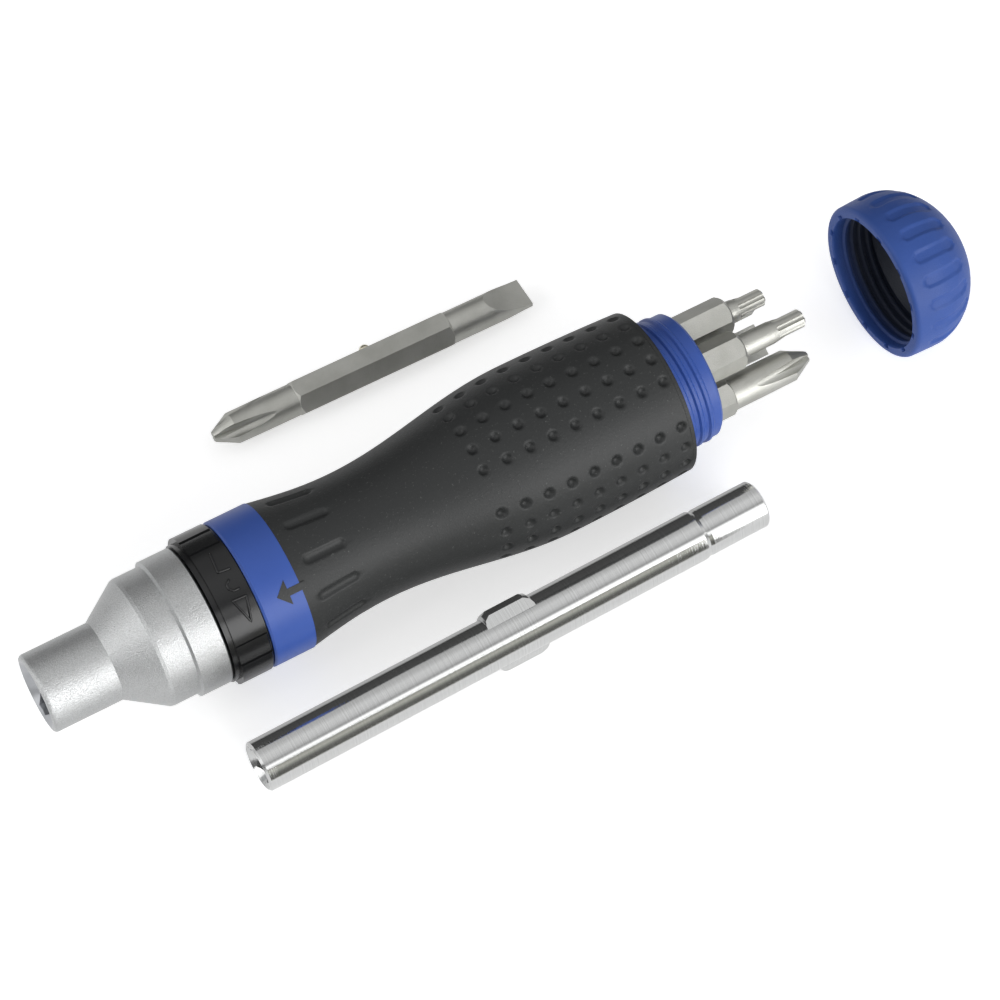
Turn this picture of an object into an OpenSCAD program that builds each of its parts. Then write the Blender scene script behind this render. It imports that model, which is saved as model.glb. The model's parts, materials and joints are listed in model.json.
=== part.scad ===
// Ratcheting screwdriver with double-ended bits stored in its handle.
// The tool's axis is the X axis: the mouth of the nose is at the origin and the handle's tail points to +X.
// Angles about the axis are measured from the top (+Z) towards -Y.

/* [Shaft] */
// Diameter of the shaft tube
shaft_d = 9.4; // [9.2:0.05:9.6]
// Length of the shaft tube
shaft_len = 102; // [98:1:106]
// Diameter of the turned-down end of the shaft
shaft_end_d = 9; // [8.7:0.05:9.1]
// Length of the turned-down end
shaft_end_len = 12.4; // [10:0.2:15]
// Length of a driving wing
wing_len = 9.6; // [8.4:0.2:10.8]
// Width of the top of a wing
wing_top_w = 2.2; // [1.8:0.1:2.6]
// How far a wing stands out of the tube
wing_h = 1; // [0.8:0.05:1.1]
// Length of the steel stop between the two bit sockets
stop_len = 8; // [6:0.5:12]

/* [Bits] */
// Width across flats of a bit's hexagon
bit_af = 6.35; // [6.2:0.05:6.4]
// Length of a double-ended bit
bit_len = 65; // [63:0.5:66]
// Radius of a bit's catch ball
bit_ball_r = 1.1; // [0.9:0.05:1.2]

/* [Nose] */
// Radius of the front tube of the nose shell
nose_tube_r = 7.25; // [7.1:0.05:7.6]
// Length of the front tube
nose_tube_len = 12.8; // [11:0.2:15]
// Length of the cone
nose_cone_len = 7.1; // [6:0.1:9]
// Radius of the wide barrel behind the cone
nose_body_r = 12; // [11.4:0.1:12.3]
// Length of the wide barrel
nose_body_len = 4.9; // [4:0.1:6]
// Radius of the rear rim
nose_rim_r = 12.7; // [12.4:0.1:12.9]
// Length of the rear rim
nose_rim_len = 5.7; // [5:0.1:7]

/* [Ratchet] */
// Wall of the steel drive socket
socket_wall = 1.25; // [1.15:0.05:1.3]
// Height of a ratchet tooth
tooth_h = 0.9; // [0.8:0.05:0.95]
// Thickness of the rear flange of the pawl carrier
flange_t = 1.4; // [1:0.1:1.8]
// Thickness of the front cover of the pawl carrier
cover_t = 0.9; // [0.8:0.05:1.1]
// Length of the hub of the pawl carrier behind its flange
hub_len = 10.6; // [10.2:0.1:12]
// Length of the bearing bush
bush_len = 4.6; // [4:0.1:4.8]

/* [Selector] */
// Outer radius of the marked panel of the selector ring
selector_r = 13.35; // [13.2:0.05:13.4]
// Length of the selector ring
selector_len = 7.1; // [6.6:0.1:8]
// How far the grip pads stand out of the panel
pad_h = 0.5; // [0.3:0.05:0.6]

/* [Handle] */
// Radius of the bare ring at the front of the handle
ring_r = 13.8; // [13.7:0.05:14.2]
// Length of the bare ring
ring_len = 7.8; // [7:0.1:9]
// Length of the rubber grip
grip_len = 74.9; // [74:0.5:80]
// Radius of the grip at its front end
grip_front_r = 13.7; // [13.5:0.05:13.75]
// Radius of the grip at its waist
waist_r = 12; // [11.9:0.05:12.5]
// Largest radius of the grip
swell_r = 16.05; // [15.8:0.05:16.6]
// Radius of the grip at its rear end
grip_rear_r = 15.5; // [15.2:0.05:15.7]
// Thickness of the rubber at the waist
rubber_t = 0.7; // [0.6:0.05:0.8]
// Added thickness of the rubber at the swell
rubber_swell_t = 1.7; // [1.2:0.1:2]
// Height of the low bumps that the grip rests on
bump_h = 0.5; // [0.3:0.05:0.6]
// Radius of the neck that the cap screws on
neck_r = 12; // [11.9:0.05:12.2]
// Length of the neck
neck_len = 8.3; // [7.5:0.1:9]
// Radius of the circle on which the bit pockets stand
pocket_circle_r = 7.6; // [7.5:0.05:7.7]
// How far a stored bit stands out of the neck under the closed cap
home_stand = 4.6; // [3.5:0.1:5]

/* [Cap] */
// Wall of the cap at its rim, around the thread
cap_rim_wall = 2.1; // [1.8:0.05:2.4]
// Length of the cap
cap_len = 17.8; // [17:0.1:20]
// Wall of the cap
cap_wall = 1.8; // [1.5:0.1:2.1]
// Travel of the cap from its seat to where it lies off the handle
cap_travel = 47.4; // [44:0.1:53]
// Depth of a flute
flute_depth = 0.65; // [0.4:0.05:0.75]

/* [Loose pieces] */
// Place along the handle of the loose shaft's left end
shaft_x = 28; // [20:0.5:40]
// Place across the handle of the loose shaft's left end
shaft_y = -25.2; // [-30:0.2:-24]
// Place along the handle of the loose bit's left end
loose_bit_x = 53; // [40:0.5:60]
// Place across the handle of the loose bit's left end
loose_bit_y = 39; // [30:0.2:45]

/* [Hidden] */
$fn = 96;

// Overrun of every cut
over = 1;
// Clearance between pieces that are pressed together, per side
press_gap = 0.02;
// Clearance of pieces that turn or slide on each other, per side
run_gap = 0.05;
// Gap between the rings that turn against each other
ring_gap = 0.2;
// Side clearance of the gear and pawls in the carrier
side_gap = 0.2;

// Mouth, bore and keyways of the drive socket
shaft_r = shaft_d / 2;
socket_bore_r = shaft_r + run_gap;
socket_r = socket_bore_r + socket_wall;
socket_front_r = socket_r + 0.4 * socket_wall * 0.8;
wing_r = shaft_r + wing_h;
wing_room = 0.8;
wing_base_angle = 49;
wing_root_share = 0.95;
socket_flange_r = 10;
socket_flange_len = 3.3;
mouth_r = 6.2;
mouth_depth = mouth_r - socket_bore_r;

// Nose shell
nose_edge = 0.3;
nose_front_edge = 0.65;
nose_bevel_len = 0.4;
nose_end = nose_tube_len + nose_cone_len + nose_body_len + nose_bevel_len + nose_rim_len;

// Wire ring that holds the shaft
retainer_x_share = 0.65;
retainer_wire_r = 0.3;
retainer_r = socket_bore_r + 0.33 * socket_wall * 0.8;
retainer_room = 0.1;
retainer_x = nose_end * retainer_x_share;

// Stations along the handle
selector_x = nose_end + ring_gap;
core_x = selector_x + selector_len + ring_gap;
grip_x = core_x + ring_len;
neck_x = grip_x + grip_len;
core_end = neck_x + neck_len;
cap_seat_x = neck_x + ring_gap;
cap_x = cap_seat_x + cap_travel;

// Ratchet gear
gear_teeth = 24;
gear_wall = 1;
gear_root_r = socket_r + gear_wall;
gear_tip_r = gear_root_r + tooth_h;
tooth_pitch = 360 / gear_teeth;
tooth_root_share = 0.73;
tooth_tip_share = 0.21;

// Pawls: the tip sits in a gap of the gear, the pivot and the tail lie beyond it
pawl_angle = 1.5 * tooth_pitch;
pawl_pivot_angle = 26;
pawl_tail_angle = 43;
pawl_lift = 12.5;
pawl_depth_gap = 0.15;
pawl_tip_r = gear_root_r + pawl_depth_gap;
pawl_pivot_r = gear_tip_r + 1.5 * gear_wall;
pawl_boss_r = 1;
pawl_pin_r = 0.5;
pawl_tail_r = 0.45;
pawl_tail_at_r = pawl_pivot_r + 1.15 * pawl_boss_r;
pawl_nose_t = 0.8;
pawl_tip_half_angle = 1.4;
pawl_nose_half_angle = 4.4;

// Selector throw and its cams
selector_throw = 40;
cam_gap = 0.12;
cam_lead = 0.5;
cam_flat = 6;
cam_end = 4;
cam_overlap = 0.3;

// Pawl carrier, its cover and its screws
carrier_r = pawl_tail_at_r + pawl_tail_r + 0.2 * pawl_boss_r;
land_in_r = gear_tip_r + 0.25 * gear_wall;
top_land_half_angle = 14;
bottom_land_angle = 118;
socket_clear = 0.12;
land_x = selector_x + cover_t;
flange_x = core_x - flange_t;
gear_x = land_x + side_gap;
gear_len = flange_x - side_gap - gear_x;
hub_r = 9.9;
hub_bore_r = 8.5;
bush_r = 7.6;
bush_room = 3.2;
bush_x = core_x + hub_len - bush_len - bush_room;
bush_end = bush_x + bush_len;
washer_t = 0.8;
washer_x = bush_end + 2 * run_gap;
clip_x = washer_x + washer_t + 2 * run_gap;
clip_t = 0.8;
clip_groove_depth = 0.45;
clip_w = 2;
clip_mouth = 50;
socket_end = clip_x + clip_t + over;
spring_r = pawl_pivot_r + pawl_tail_r;
spring_t = 0.25;
spring_half_angle = 36;
spring_w = 3;
screw_circle_r = (land_in_r + carrier_r) / 2;
screw_angles = [135, 180, 225];
screw_r = 0.95;
screw_head_r = 1.5;
screw_head_t = 0.5;
screw_len = 4.4;
screw_hex_af = 1.3;

// Selector ring
selector_bore_r = carrier_r + 0.15;
selector_flange_r = selector_r - 0.4;
selector_flange_len = 1;
selector_edge = 0.18;
step_h = pad_h / 2;
panel_angle = 23.5;
pad_offset_angle = 82.5;
pad_half_angle = 24;
step_width_angle = 18;
detent_ball_r = 0.8;
detent_r = (selector_bore_r + selector_r) / 2;
detent_angle = 180;
detent_set = 0.35;
detent_groove_gap = 0.1;
detent_end = 5;
detent_bore_len = 3.6;
detent_depth = detent_ball_r - detent_set - ring_gap + detent_groove_gap;

// Handle core
ring_edge = 0.35;
hub_gap = 0.05;
shaft_bore_r = shaft_r + 0.3;
shaft_end_room = 1.2;
shaft_bore_end = (shaft_len + wing_len) / 2 + shaft_end_room;
neck_edge = 0.5;

// Index line of the handle: the arrow, the bumps, the slots and the pockets are counted from it
mark_angle = 42.5;
arrow_tip_share = 0.42;
arrow_head_share = 0.7;
arrow_tip_x = core_x + arrow_tip_share * ring_len;
arrow_head_x = core_x + arrow_head_share * ring_len;
arrow_head_w = 2.3;
arrow_stem_w = 0.65;
arrow_root = 1;
arrow_depth = 0.8;
arrow_stand = 0.05;

// Grip
waist_share = 0.21;
swell_share = 0.69;
grip_edge = 0.4;
slot_count = 12;
slot_len = 8.5;
slot_w = 2;
slot_rib_w = 1.1;
slot_depth = 0.6;
slot_rib_drop = 0.06;
slot_x = grip_x + 2.2;

// Bits: pockets, hexagon chamfer, catch ball
pocket_count = 6;
pocket_gap = 0.15;
pocket_room = 0.3;
pocket_af = bit_af + 2 * pocket_gap;
pocket_bore_r = bit_af / 2 + pocket_gap / 2;
pocket_x = core_end + home_stand - bit_len - pocket_room;
pocket_hex_x = pocket_x + 0.24 * bit_len;
first_pocket_angle = mark_angle - 75;
socket_af = bit_af + 0.1;
socket_depth = (shaft_len - stop_len) / 2;
catch_groove_r = socket_af / 2 / cos(30) + 0.06;
catch_groove_w = 2.2;
ball_stand = 0.7;
ball_pressed_stand = 0.1;
ball_bore_gap = 0.04;
ball_bore_depth = 5;
ball_spring_wire_r = 0.15;
ball_spring_turns = 3.5;

// Kinds of tip, and the shape of each end: kind, tip radius, neck radius as shares of bit_af,
// length of neck and tip as a share of bit_len; the end that lies in the pocket comes first
loose_bit_shares = [["cross", 0.488, 0.488, 0.252], ["slot", 0.08, 0.488, 0.249]];
stored_bit_shares = [
    [["star", 0.22, 0.32, 0.25], ["star", 0.26, 0.323, 0.115]],
    [["star", 0.30, 0.34, 0.25], ["star", 0.276, 0.33, 0.2]],
    [["slot", 0.07, 0.43, 0.25], ["cross", 0.488, 0.488, 0.25]],
    [["square", 0.19, 0.36, 0.25], ["square", 0.23, 0.39, 0.25]],
    [["slot", 0.05, 0.31, 0.25], ["slot", 0.08, 0.488, 0.25]],
    [["cross", 0.36, 0.36, 0.25], ["cross", 0.31, 0.32, 0.25]]
];
// How far each stored bit is drawn out of its pocket, as a share of the cap's travel
pull_shares = [0.274, 0.348, 0.329, 0.302, 0.284, 0.317];

// The loose pieces lie on the same plane as the grip's bumps
floor_z = -(swell_r + bump_h);
shaft_turn = 1.07;
shaft_wing_angle = -37;
loose_bit_turn = -0.7;
loose_ball_angle = -60;

// Point at radius r and angle a, seen along the tool's axis
function at(r, a) = [-r * sin(a), r * cos(a)];
// Point p turned by a about the point c
function swung(p, c, a) = c + [(p - c)[0] * cos(a) - (p - c)[1] * sin(a), (p - c)[0] * sin(a) + (p - c)[1] * cos(a)];

pawl_pivot = at(pawl_pivot_r, pawl_pivot_angle);
pawl_tail = at(pawl_tail_at_r, pawl_tail_angle);
cam_high_r = norm(pawl_tail) + pawl_tail_r + cam_gap;
cam_low_r = norm(swung(pawl_tail, pawl_pivot, pawl_lift)) + pawl_tail_r + cam_gap / 4;

// Shape revolved about the tool's axis: each point is [place along the axis, radius]
module turned(points) {
    rotate([0, 90, 0]) rotate_extrude() polygon([for (p = points) [p[1], p[0]]]);
}

// Flat shape drawn across the axis and pushed along it
module slab(x, length) {
    translate([x, 0, 0]) rotate([90, 0, 90]) linear_extrude(length) children();
}

// Round rod along the axis
module rod(x, length, r) {
    translate([x, 0, 0]) rotate([0, 90, 0]) cylinder(h = length, r = r);
}

// Hexagonal rod along the axis with two flats up and down
module hex_rod(x, length, af) {
    translate([x, 0, 0]) rotate([30, 0, 0]) rotate([0, 90, 0]) cylinder(h = length, r = af / 2 / cos(30), $fn = 6);
}

// Round tube along the axis
module tube(x, length, r_out, r_in) {
    difference() {
        rod(x, length, r_out);
        rod(x - over, length + 2 * over, r_in);
    }
}

// Piece of a flat ring between two angles
module ring_sector(r_in, r_out, a_from, a_to) {
    intersection() {
        difference() {
            circle(r = r_out);
            circle(r = r_in);
        }
        polygon(concat([[0, 0]], [for (i = [0:4]) at(2 * r_out, a_from + (a_to - a_from) * i / 4)]));
    }
}

// Children turned to an angle about the axis and moved out to a radius
module place(r, a) {
    rotate([a, 0, 0]) translate([0, 0, r]) children();
}

// Centre line of a spring along +Z
function spring_line(r, length, turns, steps) = [
    for (i = [0:steps]) [r * cos(360 * turns * i / steps), r * sin(360 * turns * i / steps), length * i / steps]
];

// Helical wire along +Z, one unbroken tube of six sides
module spring(r, wire_r, length, turns) {
    steps = ceil(turns * 8);
    sides = 6;
    line = spring_line(r, length, turns, steps);
    points = [for (i = [0:steps]) for (k = [0:sides - 1])
        let (t = 360 * turns * i / steps, c = 360 * k / sides)
        line[i] + wire_r * [cos(c) * cos(t), cos(c) * sin(t), sin(c)]];
    sides_faces = [for (i = [0:steps - 1]) for (k = [0:sides - 1])
        let (a = i * sides + k, b = i * sides + (k + 1) % sides)
        each [[a, a + sides, b], [b, a + sides, b + sides]]];
    first = [for (k = [1:sides - 2]) [0, k, k + 1]];
    last = [for (k = [1:sides - 2]) [steps * sides, steps * sides + k + 1, steps * sides + k]];
    polyhedron(points, concat(sides_faces, first, last));
}

// Cross section of the shaft's two wings, as flat-sided ridges on the tube
module wing_section(gap) {
    base = at(wing_root_share * shaft_r + gap, wing_base_angle);
    top = [wing_top_w / 2 + gap, wing_r + gap];
    polygon([base, [-top[0], top[1]], top, [-base[0], base[1]], -base, [top[0], -top[1]], -top, [base[0], -base[1]]]);
}

// Aluminium shell of the nose
module nose_shell() color("#c3c6c8") {
    cone_end = nose_tube_len + nose_cone_len;
    body_end = cone_end + nose_body_len;
    bore_r = socket_front_r + press_gap;
    seat_x = nose_end - socket_flange_len - press_gap;
    front_r = nose_tube_r - nose_front_edge;
    turned(concat(
        [[0, bore_r]],
        [for (t = [0, 30, 60, 90]) [nose_front_edge * (1 - cos(t)), front_r + nose_front_edge * sin(t)]],
        [[nose_tube_len, nose_tube_r], [cone_end - nose_edge, nose_body_r - nose_edge / 2],
        [cone_end + nose_edge, nose_body_r],
        [body_end, nose_body_r], [body_end + nose_bevel_len, nose_rim_r],
        [nose_end - nose_edge, nose_rim_r], [nose_end, nose_rim_r - nose_edge],
        [nose_end, socket_flange_r + press_gap], [seat_x, socket_flange_r + press_gap], [seat_x, bore_r]]));
}

// Steel sleeve that takes the shaft and turns in the handle
module drive_socket() color("#8f9296") {
    difference() {
        union() {
            rod(0, nose_end - over / 2, socket_front_r);
            rod(nose_end - socket_flange_len, socket_flange_len, socket_flange_r);
            rod(nose_end - over, socket_end - nose_end + over, socket_r);
        }
        rod(-over, socket_end + 2 * over, socket_bore_r);
        turned([[-over, 0], [-over, mouth_r + over], [mouth_depth, socket_bore_r], [mouth_depth, 0]]);
        slab(-over, over + wing_len + wing_room) wing_section(run_gap);
        rod(retainer_x - retainer_wire_r - retainer_room, 2 * (retainer_wire_r + retainer_room),
            retainer_r + retainer_wire_r + retainer_room);
        difference() {
            rod(clip_x - run_gap, clip_t + 2 * run_gap, socket_r + over);
            rod(clip_x - over, clip_t + 2 * over, socket_r - clip_groove_depth);
        }
    }
}

// Toothed wheel pressed on the drive socket
module ratchet_gear() color("#7b7e82") {
    root = tooth_pitch * tooth_root_share / 2;
    tip = tooth_pitch * tooth_tip_share / 2;
    slab(gear_x, gear_len) difference() {
        polygon([for (i = [0:gear_teeth - 1]) let (c = i * tooth_pitch)
            each [at(gear_root_r, c - root), at(gear_tip_r, c - tip), at(gear_tip_r, c + tip),
                at(gear_root_r, c + root)]]);
        circle(r = socket_r + press_gap);
    }
}

// Open wire ring in the socket's inner groove
module shaft_retainer() color("#b9bcc0") {
    translate([retainer_x, 0, 0]) rotate([0, 90, 0]) rotate_extrude(angle = 360 - clip_mouth)
        translate([retainer_r, 0]) circle(r = retainer_wire_r, $fn = 24);
}

// Open ring that holds the drive socket from behind
module retaining_ring() color("#5d6064") {
    slab(clip_x, clip_t) difference() {
        circle(r = socket_r - clip_groove_depth + press_gap + clip_w);
        circle(r = socket_r - clip_groove_depth + press_gap);
        polygon([[0, 0], at(2 * socket_r, 180 - clip_mouth / 2), at(2 * socket_r, 180 + clip_mouth / 2)]);
    }
}

module thrust_washer() color("#9a9da1") tube(washer_x, washer_t, hub_bore_r - run_gap, socket_r + run_gap);

module bearing_bush() color("#b98d52") tube(bush_x, bush_len, bush_r - press_gap, socket_r + run_gap);

// Pawl in its own place: the tip on the gap of the gear, the pivot and the tail beyond it
module pawl() {
    nose_r = pawl_tip_r + tooth_h;
    back_r = nose_r + pawl_nose_t;
    middle = at((nose_r + back_r) / 2, 0);
    arm = 0.9 * pawl_boss_r;
    difference() {
        union() {
            slab(gear_x, gear_len) polygon([at(pawl_tip_r, pawl_tip_half_angle), at(pawl_tip_r, -pawl_tip_half_angle),
                at(nose_r, -pawl_nose_half_angle), at(back_r, -pawl_nose_half_angle),
                at(back_r, pawl_nose_half_angle), at(nose_r, pawl_nose_half_angle)]);
            slab(gear_x, gear_len) band(pawl_pivot, middle, arm, pawl_nose_t / 2);
            slab(gear_x, gear_len) band(pawl_pivot, pawl_tail, arm, pawl_tail_r);
            slab(gear_x, gear_len) translate(pawl_pivot) circle(r = pawl_boss_r);
            slab(gear_x, gear_len) translate(pawl_tail) circle(r = pawl_tail_r);
        }
        slab(gear_x - over, gear_len + 2 * over) translate(pawl_pivot) circle(r = pawl_pin_r + run_gap);
    }
}

// Straight arm between two points with a half width at each
module band(p, q, half_p, half_q) {
    along = (q - p) / norm(q - p);
    side = [-along[1], along[0]];
    polygon([p + half_p * side, q + half_q * side, q - half_q * side, p - half_p * side]);
}

module pawl_forward() color("#6f7276") rotate([pawl_angle, 0, 0]) pawl();

module pawl_reverse() color("#6f7276") mirror([0, 1, 0]) rotate([pawl_angle, 0, 0])
    translate([0, pawl_pivot[0], pawl_pivot[1]]) rotate([pawl_lift, 0, 0])
        translate([0, -pawl_pivot[0], -pawl_pivot[1]]) pawl();

module pawl_pins() color("#c9ccd0") {
    for (side = [-1, 1]) place(pawl_pivot_r, side * (pawl_angle + pawl_pivot_angle))
        rod(selector_x + run_gap, core_x - selector_x - 2 * run_gap, pawl_pin_r);
}

// Flat leaf that presses both pawls on the gear
module pawl_spring() color("#a7aab0") {
    slab(gear_x + (gear_len - spring_w) / 2, spring_w)
        ring_sector(spring_r, spring_r + spring_t, -spring_half_angle, spring_half_angle);
}

// Ring-shaped body that carries the pawls and is pressed into the handle
module pawl_carrier() color("#7f8286") {
    difference() {
        union() {
            slab(flange_x, flange_t) circle(r = carrier_r);
            slab(land_x, flange_x - land_x) {
                ring_sector(land_in_r, carrier_r, -top_land_half_angle, top_land_half_angle);
                ring_sector(land_in_r, carrier_r, bottom_land_angle, 360 - bottom_land_angle);
            }
            rod(core_x, hub_len, hub_r);
        }
        rod(land_x - over, hub_len + 2 * over + core_x - land_x, socket_r + socket_clear);
        rod(bush_x, hub_len + over, bush_r);
        rod(bush_end, hub_len + over, hub_bore_r);
        slab(gear_x + (gear_len - spring_w) / 2 - side_gap / 2, spring_w + side_gap)
            ring_sector(spring_r - run_gap, spring_r + spring_t + run_gap, -spring_half_angle, spring_half_angle);
        for (side = [-1, 1]) place(pawl_pivot_r, side * (pawl_angle + pawl_pivot_angle))
            rod(flange_x - over, flange_t + 2 * over, pawl_pin_r + press_gap);
        for (a = screw_angles) place(screw_circle_r, a) rod(land_x - over, over + screw_len, screw_r + run_gap);
    }
}

// Front plate that closes the pawl carrier
module pawl_cover() color("#8a8d91") {
    difference() {
        rod(selector_x, cover_t, carrier_r);
        rod(selector_x - over, cover_t + 2 * over, socket_r + socket_clear);
        for (side = [-1, 1]) place(pawl_pivot_r, side * (pawl_angle + pawl_pivot_angle))
            rod(selector_x - over, cover_t + 2 * over, pawl_pin_r + press_gap);
        for (a = screw_angles) place(screw_circle_r, a) {
            rod(selector_x - over, cover_t + 2 * over, screw_r + run_gap);
            rod(selector_x - over, over + screw_head_t + press_gap, screw_head_r + run_gap);
        }
    }
}

module carrier_screws() color("#505357") {
    for (a = screw_angles) place(screw_circle_r, a) difference() {
        union() {
            rod(selector_x, screw_head_t, screw_head_r);
            rod(selector_x, screw_len, screw_r);
        }
        hex_rod(selector_x - over, over + screw_head_t + run_gap, screw_hex_af);
    }
}

// Cam on the inside of the selector: low from a_low on, rising over the selector's throw
module cam(a_low, way) {
    steps = 10;
    root_r = selector_bore_r + cam_overlap / 2;
    inner = concat([[root_r, -cam_flat - cam_end], [cam_low_r, -cam_flat]],
        [for (i = [0:steps]) [cam_low_r + (cam_high_r - cam_low_r) * i / steps, selector_throw * i / steps]],
        [[root_r, selector_throw + cam_end]]);
    polygon(concat([for (p = inner) at(p[0], a_low + way * p[1])],
        [for (i = [len(inner) - 1:-1:0]) at(selector_bore_r + cam_overlap, a_low + way * inner[i][1])]));
}

// Ring that the thumb turns to choose the driving direction
module selector_ring() color("#1c1d1f") {
    tail_angle = pawl_angle + pawl_tail_angle + cam_lead;
    difference() {
        union() {
            rod(selector_x, selector_len, selector_r);
            for (side = [-1, 1]) rotate([panel_angle + side * pad_offset_angle, 0, 0]) {
                selector_step(selector_r + step_h, pad_half_angle + step_width_angle);
                selector_step(selector_r + pad_h, pad_half_angle);
            }
        }
        tube(selector_x - over, over + selector_flange_len, selector_r + 2 * over, selector_flange_r);
        rod(selector_x - over, selector_len + 2 * over, selector_bore_r);
        slab(selector_x + selector_len - detent_depth, detent_depth + over)
            ring_sector(detent_r - detent_ball_r + detent_groove_gap, detent_r + detent_ball_r - detent_groove_gap,
                detent_angle - detent_end, detent_angle + selector_throw + detent_end);
    }
    slab(gear_x, gear_len) cam(tail_angle + selector_throw, -1);
    slab(gear_x, gear_len) cam(-tail_angle, 1);
}

// Raised step of the selector's outside, with a half angle about the top
module selector_step(r, half_angle) {
    step_x = selector_x + selector_flange_len / 2;
    end = selector_x + selector_len - selector_edge;
    intersection() {
        turned([[step_x, detent_r], [step_x, r], [end - selector_edge, r], [end, r - selector_edge], [end, detent_r]]);
        slab(selector_x, selector_len) polygon([[0, 0], at(2 * r, half_angle), at(2 * r, 0), at(2 * r, -half_angle)]);
    }
}

module selector_ball() color("#c8cbce") {
    place(detent_r, detent_angle) translate([core_x + detent_set, 0, 0]) sphere(r = detent_ball_r);
}

module selector_spring() color("#a7aab0") {
    start = core_x + detent_set + detent_ball_r + ball_spring_wire_r + run_gap;
    end = core_x + detent_bore_len - ball_spring_wire_r - run_gap;
    place(detent_r, detent_angle) translate([start, 0, 0]) rotate([0, 90, 0])
        spring(detent_ball_r - 2 * ball_spring_wire_r, ball_spring_wire_r, end - start, 3);
}

// Radius of the grip at a place along the tool's axis
function grip_r(x) =
    let (s = (x - grip_x) / grip_len)
    s < waist_share ? waist_r + (grip_front_r - waist_r) * (1 - sin(90 * s / waist_share)) :
    s < swell_share ? waist_r + (swell_r - waist_r) * (1 - cos(180 * (s - waist_share) / (swell_share - waist_share))) / 2 :
    swell_r - (swell_r - grip_rear_r) * pow((s - swell_share) / (1 - swell_share), 2);

// Thickness of the rubber there: more where the grip swells
function rubber_at(x) = rubber_t + rubber_swell_t * (grip_r(x) - waist_r) / (swell_r - waist_r);

grip_shares = [0, 0.04, 0.08, 0.12, 0.16, 0.21, 0.26, 0.3, 0.34, 0.38, 0.42, 0.46, 0.5, 0.54, 0.58, 0.63, 0.69,
    0.77, 0.85, 0.93, 1];

// Outline of the arrow that joins the rubber, with a gap around it
module arrow_outline(gap) {
    stem = arrow_stem_w + gap;
    head = arrow_head_w + gap;
    end = grip_x + arrow_root;
    polygon([[arrow_tip_x - 2 * gap, 0], [arrow_head_x + gap, head], [arrow_head_x + gap, stem], [end, stem],
        [end, -stem], [arrow_head_x + gap, -stem], [arrow_head_x + gap, -head]]);
}

// The arrow's body between two radii
module arrow(r_in, r_out, gap) {
    intersection() {
        rotate([mark_angle, 0, 0]) linear_extrude(ring_r + over) arrow_outline(gap);
        tube(core_x, 2 * ring_len, r_out, r_in);
    }
}

// Hard core: bare ring, seat of the ratchet, bit pockets and the neck for the cap
module handle_core() color("#2c4f9e") {
    difference() {
        turned(concat(
            [[core_x, 0], [core_x, ring_r - ring_edge], [core_x + ring_edge, ring_r], [grip_x, ring_r]],
            [for (s = grip_shares) let (x = grip_x + s * grip_len) [x, grip_r(x) - rubber_at(x)]],
            [[neck_x, neck_r], [core_end - neck_edge, neck_r], [core_end, neck_r - neck_edge], [core_end, 0]]));
        rod(core_x - over, hub_len + over + hub_gap, hub_r + press_gap);
        rod(core_x, shaft_bore_end - core_x, shaft_bore_r);
        place(detent_r, detent_angle) rod(core_x - over, over + detent_bore_len, detent_ball_r + run_gap);
        arrow(ring_r - arrow_depth - press_gap, ring_r + over, press_gap);
        for (i = [0:pocket_count - 1]) place(pocket_circle_r, first_pocket_angle + i * 360 / pocket_count) {
            rod(pocket_x, pocket_hex_x - pocket_x + over, pocket_bore_r);
            hex_rod(pocket_hex_x, core_end - pocket_hex_x + over, pocket_af);
        }
    }
}

// Pill of a width and height along +X, centred on the finger slot
module pill(w, h) {
    end = (slot_w - w) / 2;
    z = w < slot_w ? -over : 0;
    translate([end + w / 2, -w / 2, z]) cube([slot_len - slot_w, w, h - z]);
    for (x = [end + w / 2, slot_len - end - w / 2]) translate([x, 0, z]) cylinder(h = h - z, r = w / 2);
}

// Rubber sleeve with its finger slots and arrow
module grip() color("#232425") {
    slot_end = slot_x + slot_len;
    slot_tilt = atan((grip_r(slot_x) - grip_r(slot_end)) / slot_len);
    difference() {
        union() {
            turned(concat(
                [for (s = grip_shares) let (x = grip_x + s * grip_len)
                    [s == 1 ? x - grip_edge : x, grip_r(x)]],
                [[neck_x, grip_rear_r - grip_edge]],
                [for (i = [len(grip_shares) - 1:-1:0]) let (x = grip_x + grip_shares[i] * grip_len)
                    [x, grip_r(x) - rubber_at(x) + press_gap]]));
            arrow(ring_r - arrow_depth, ring_r + arrow_stand, 0);
        }
        for (i = [0:slot_count - 1]) place(grip_r(slot_x) - slot_depth, mark_angle + (i + 0.5) * 360 / slot_count)
            translate([slot_x, 0, 0]) rotate([0, slot_tilt, 0]) {
                difference() {
                    pill(slot_w, over + slot_depth);
                    pill(slot_rib_w, slot_depth - slot_rib_drop);
                }
            }
    }
}

// Screw cap, drawn where it lies off the handle
belly_x_share = 0.31;
belly_h = 0.2;
rim_edge = 0.9;
cap_bore_gap = 0.9;
cap_r = neck_r + cap_bore_gap + cap_rim_wall;
flute_count = 20;
flute_w = 2;
flute_x_share = 0.415;
flute_tilt = 11.5;
notch_count = 12;
notch_w = 1.4;
notch_depth = 0.6;
notch_len = 0.5;

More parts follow.
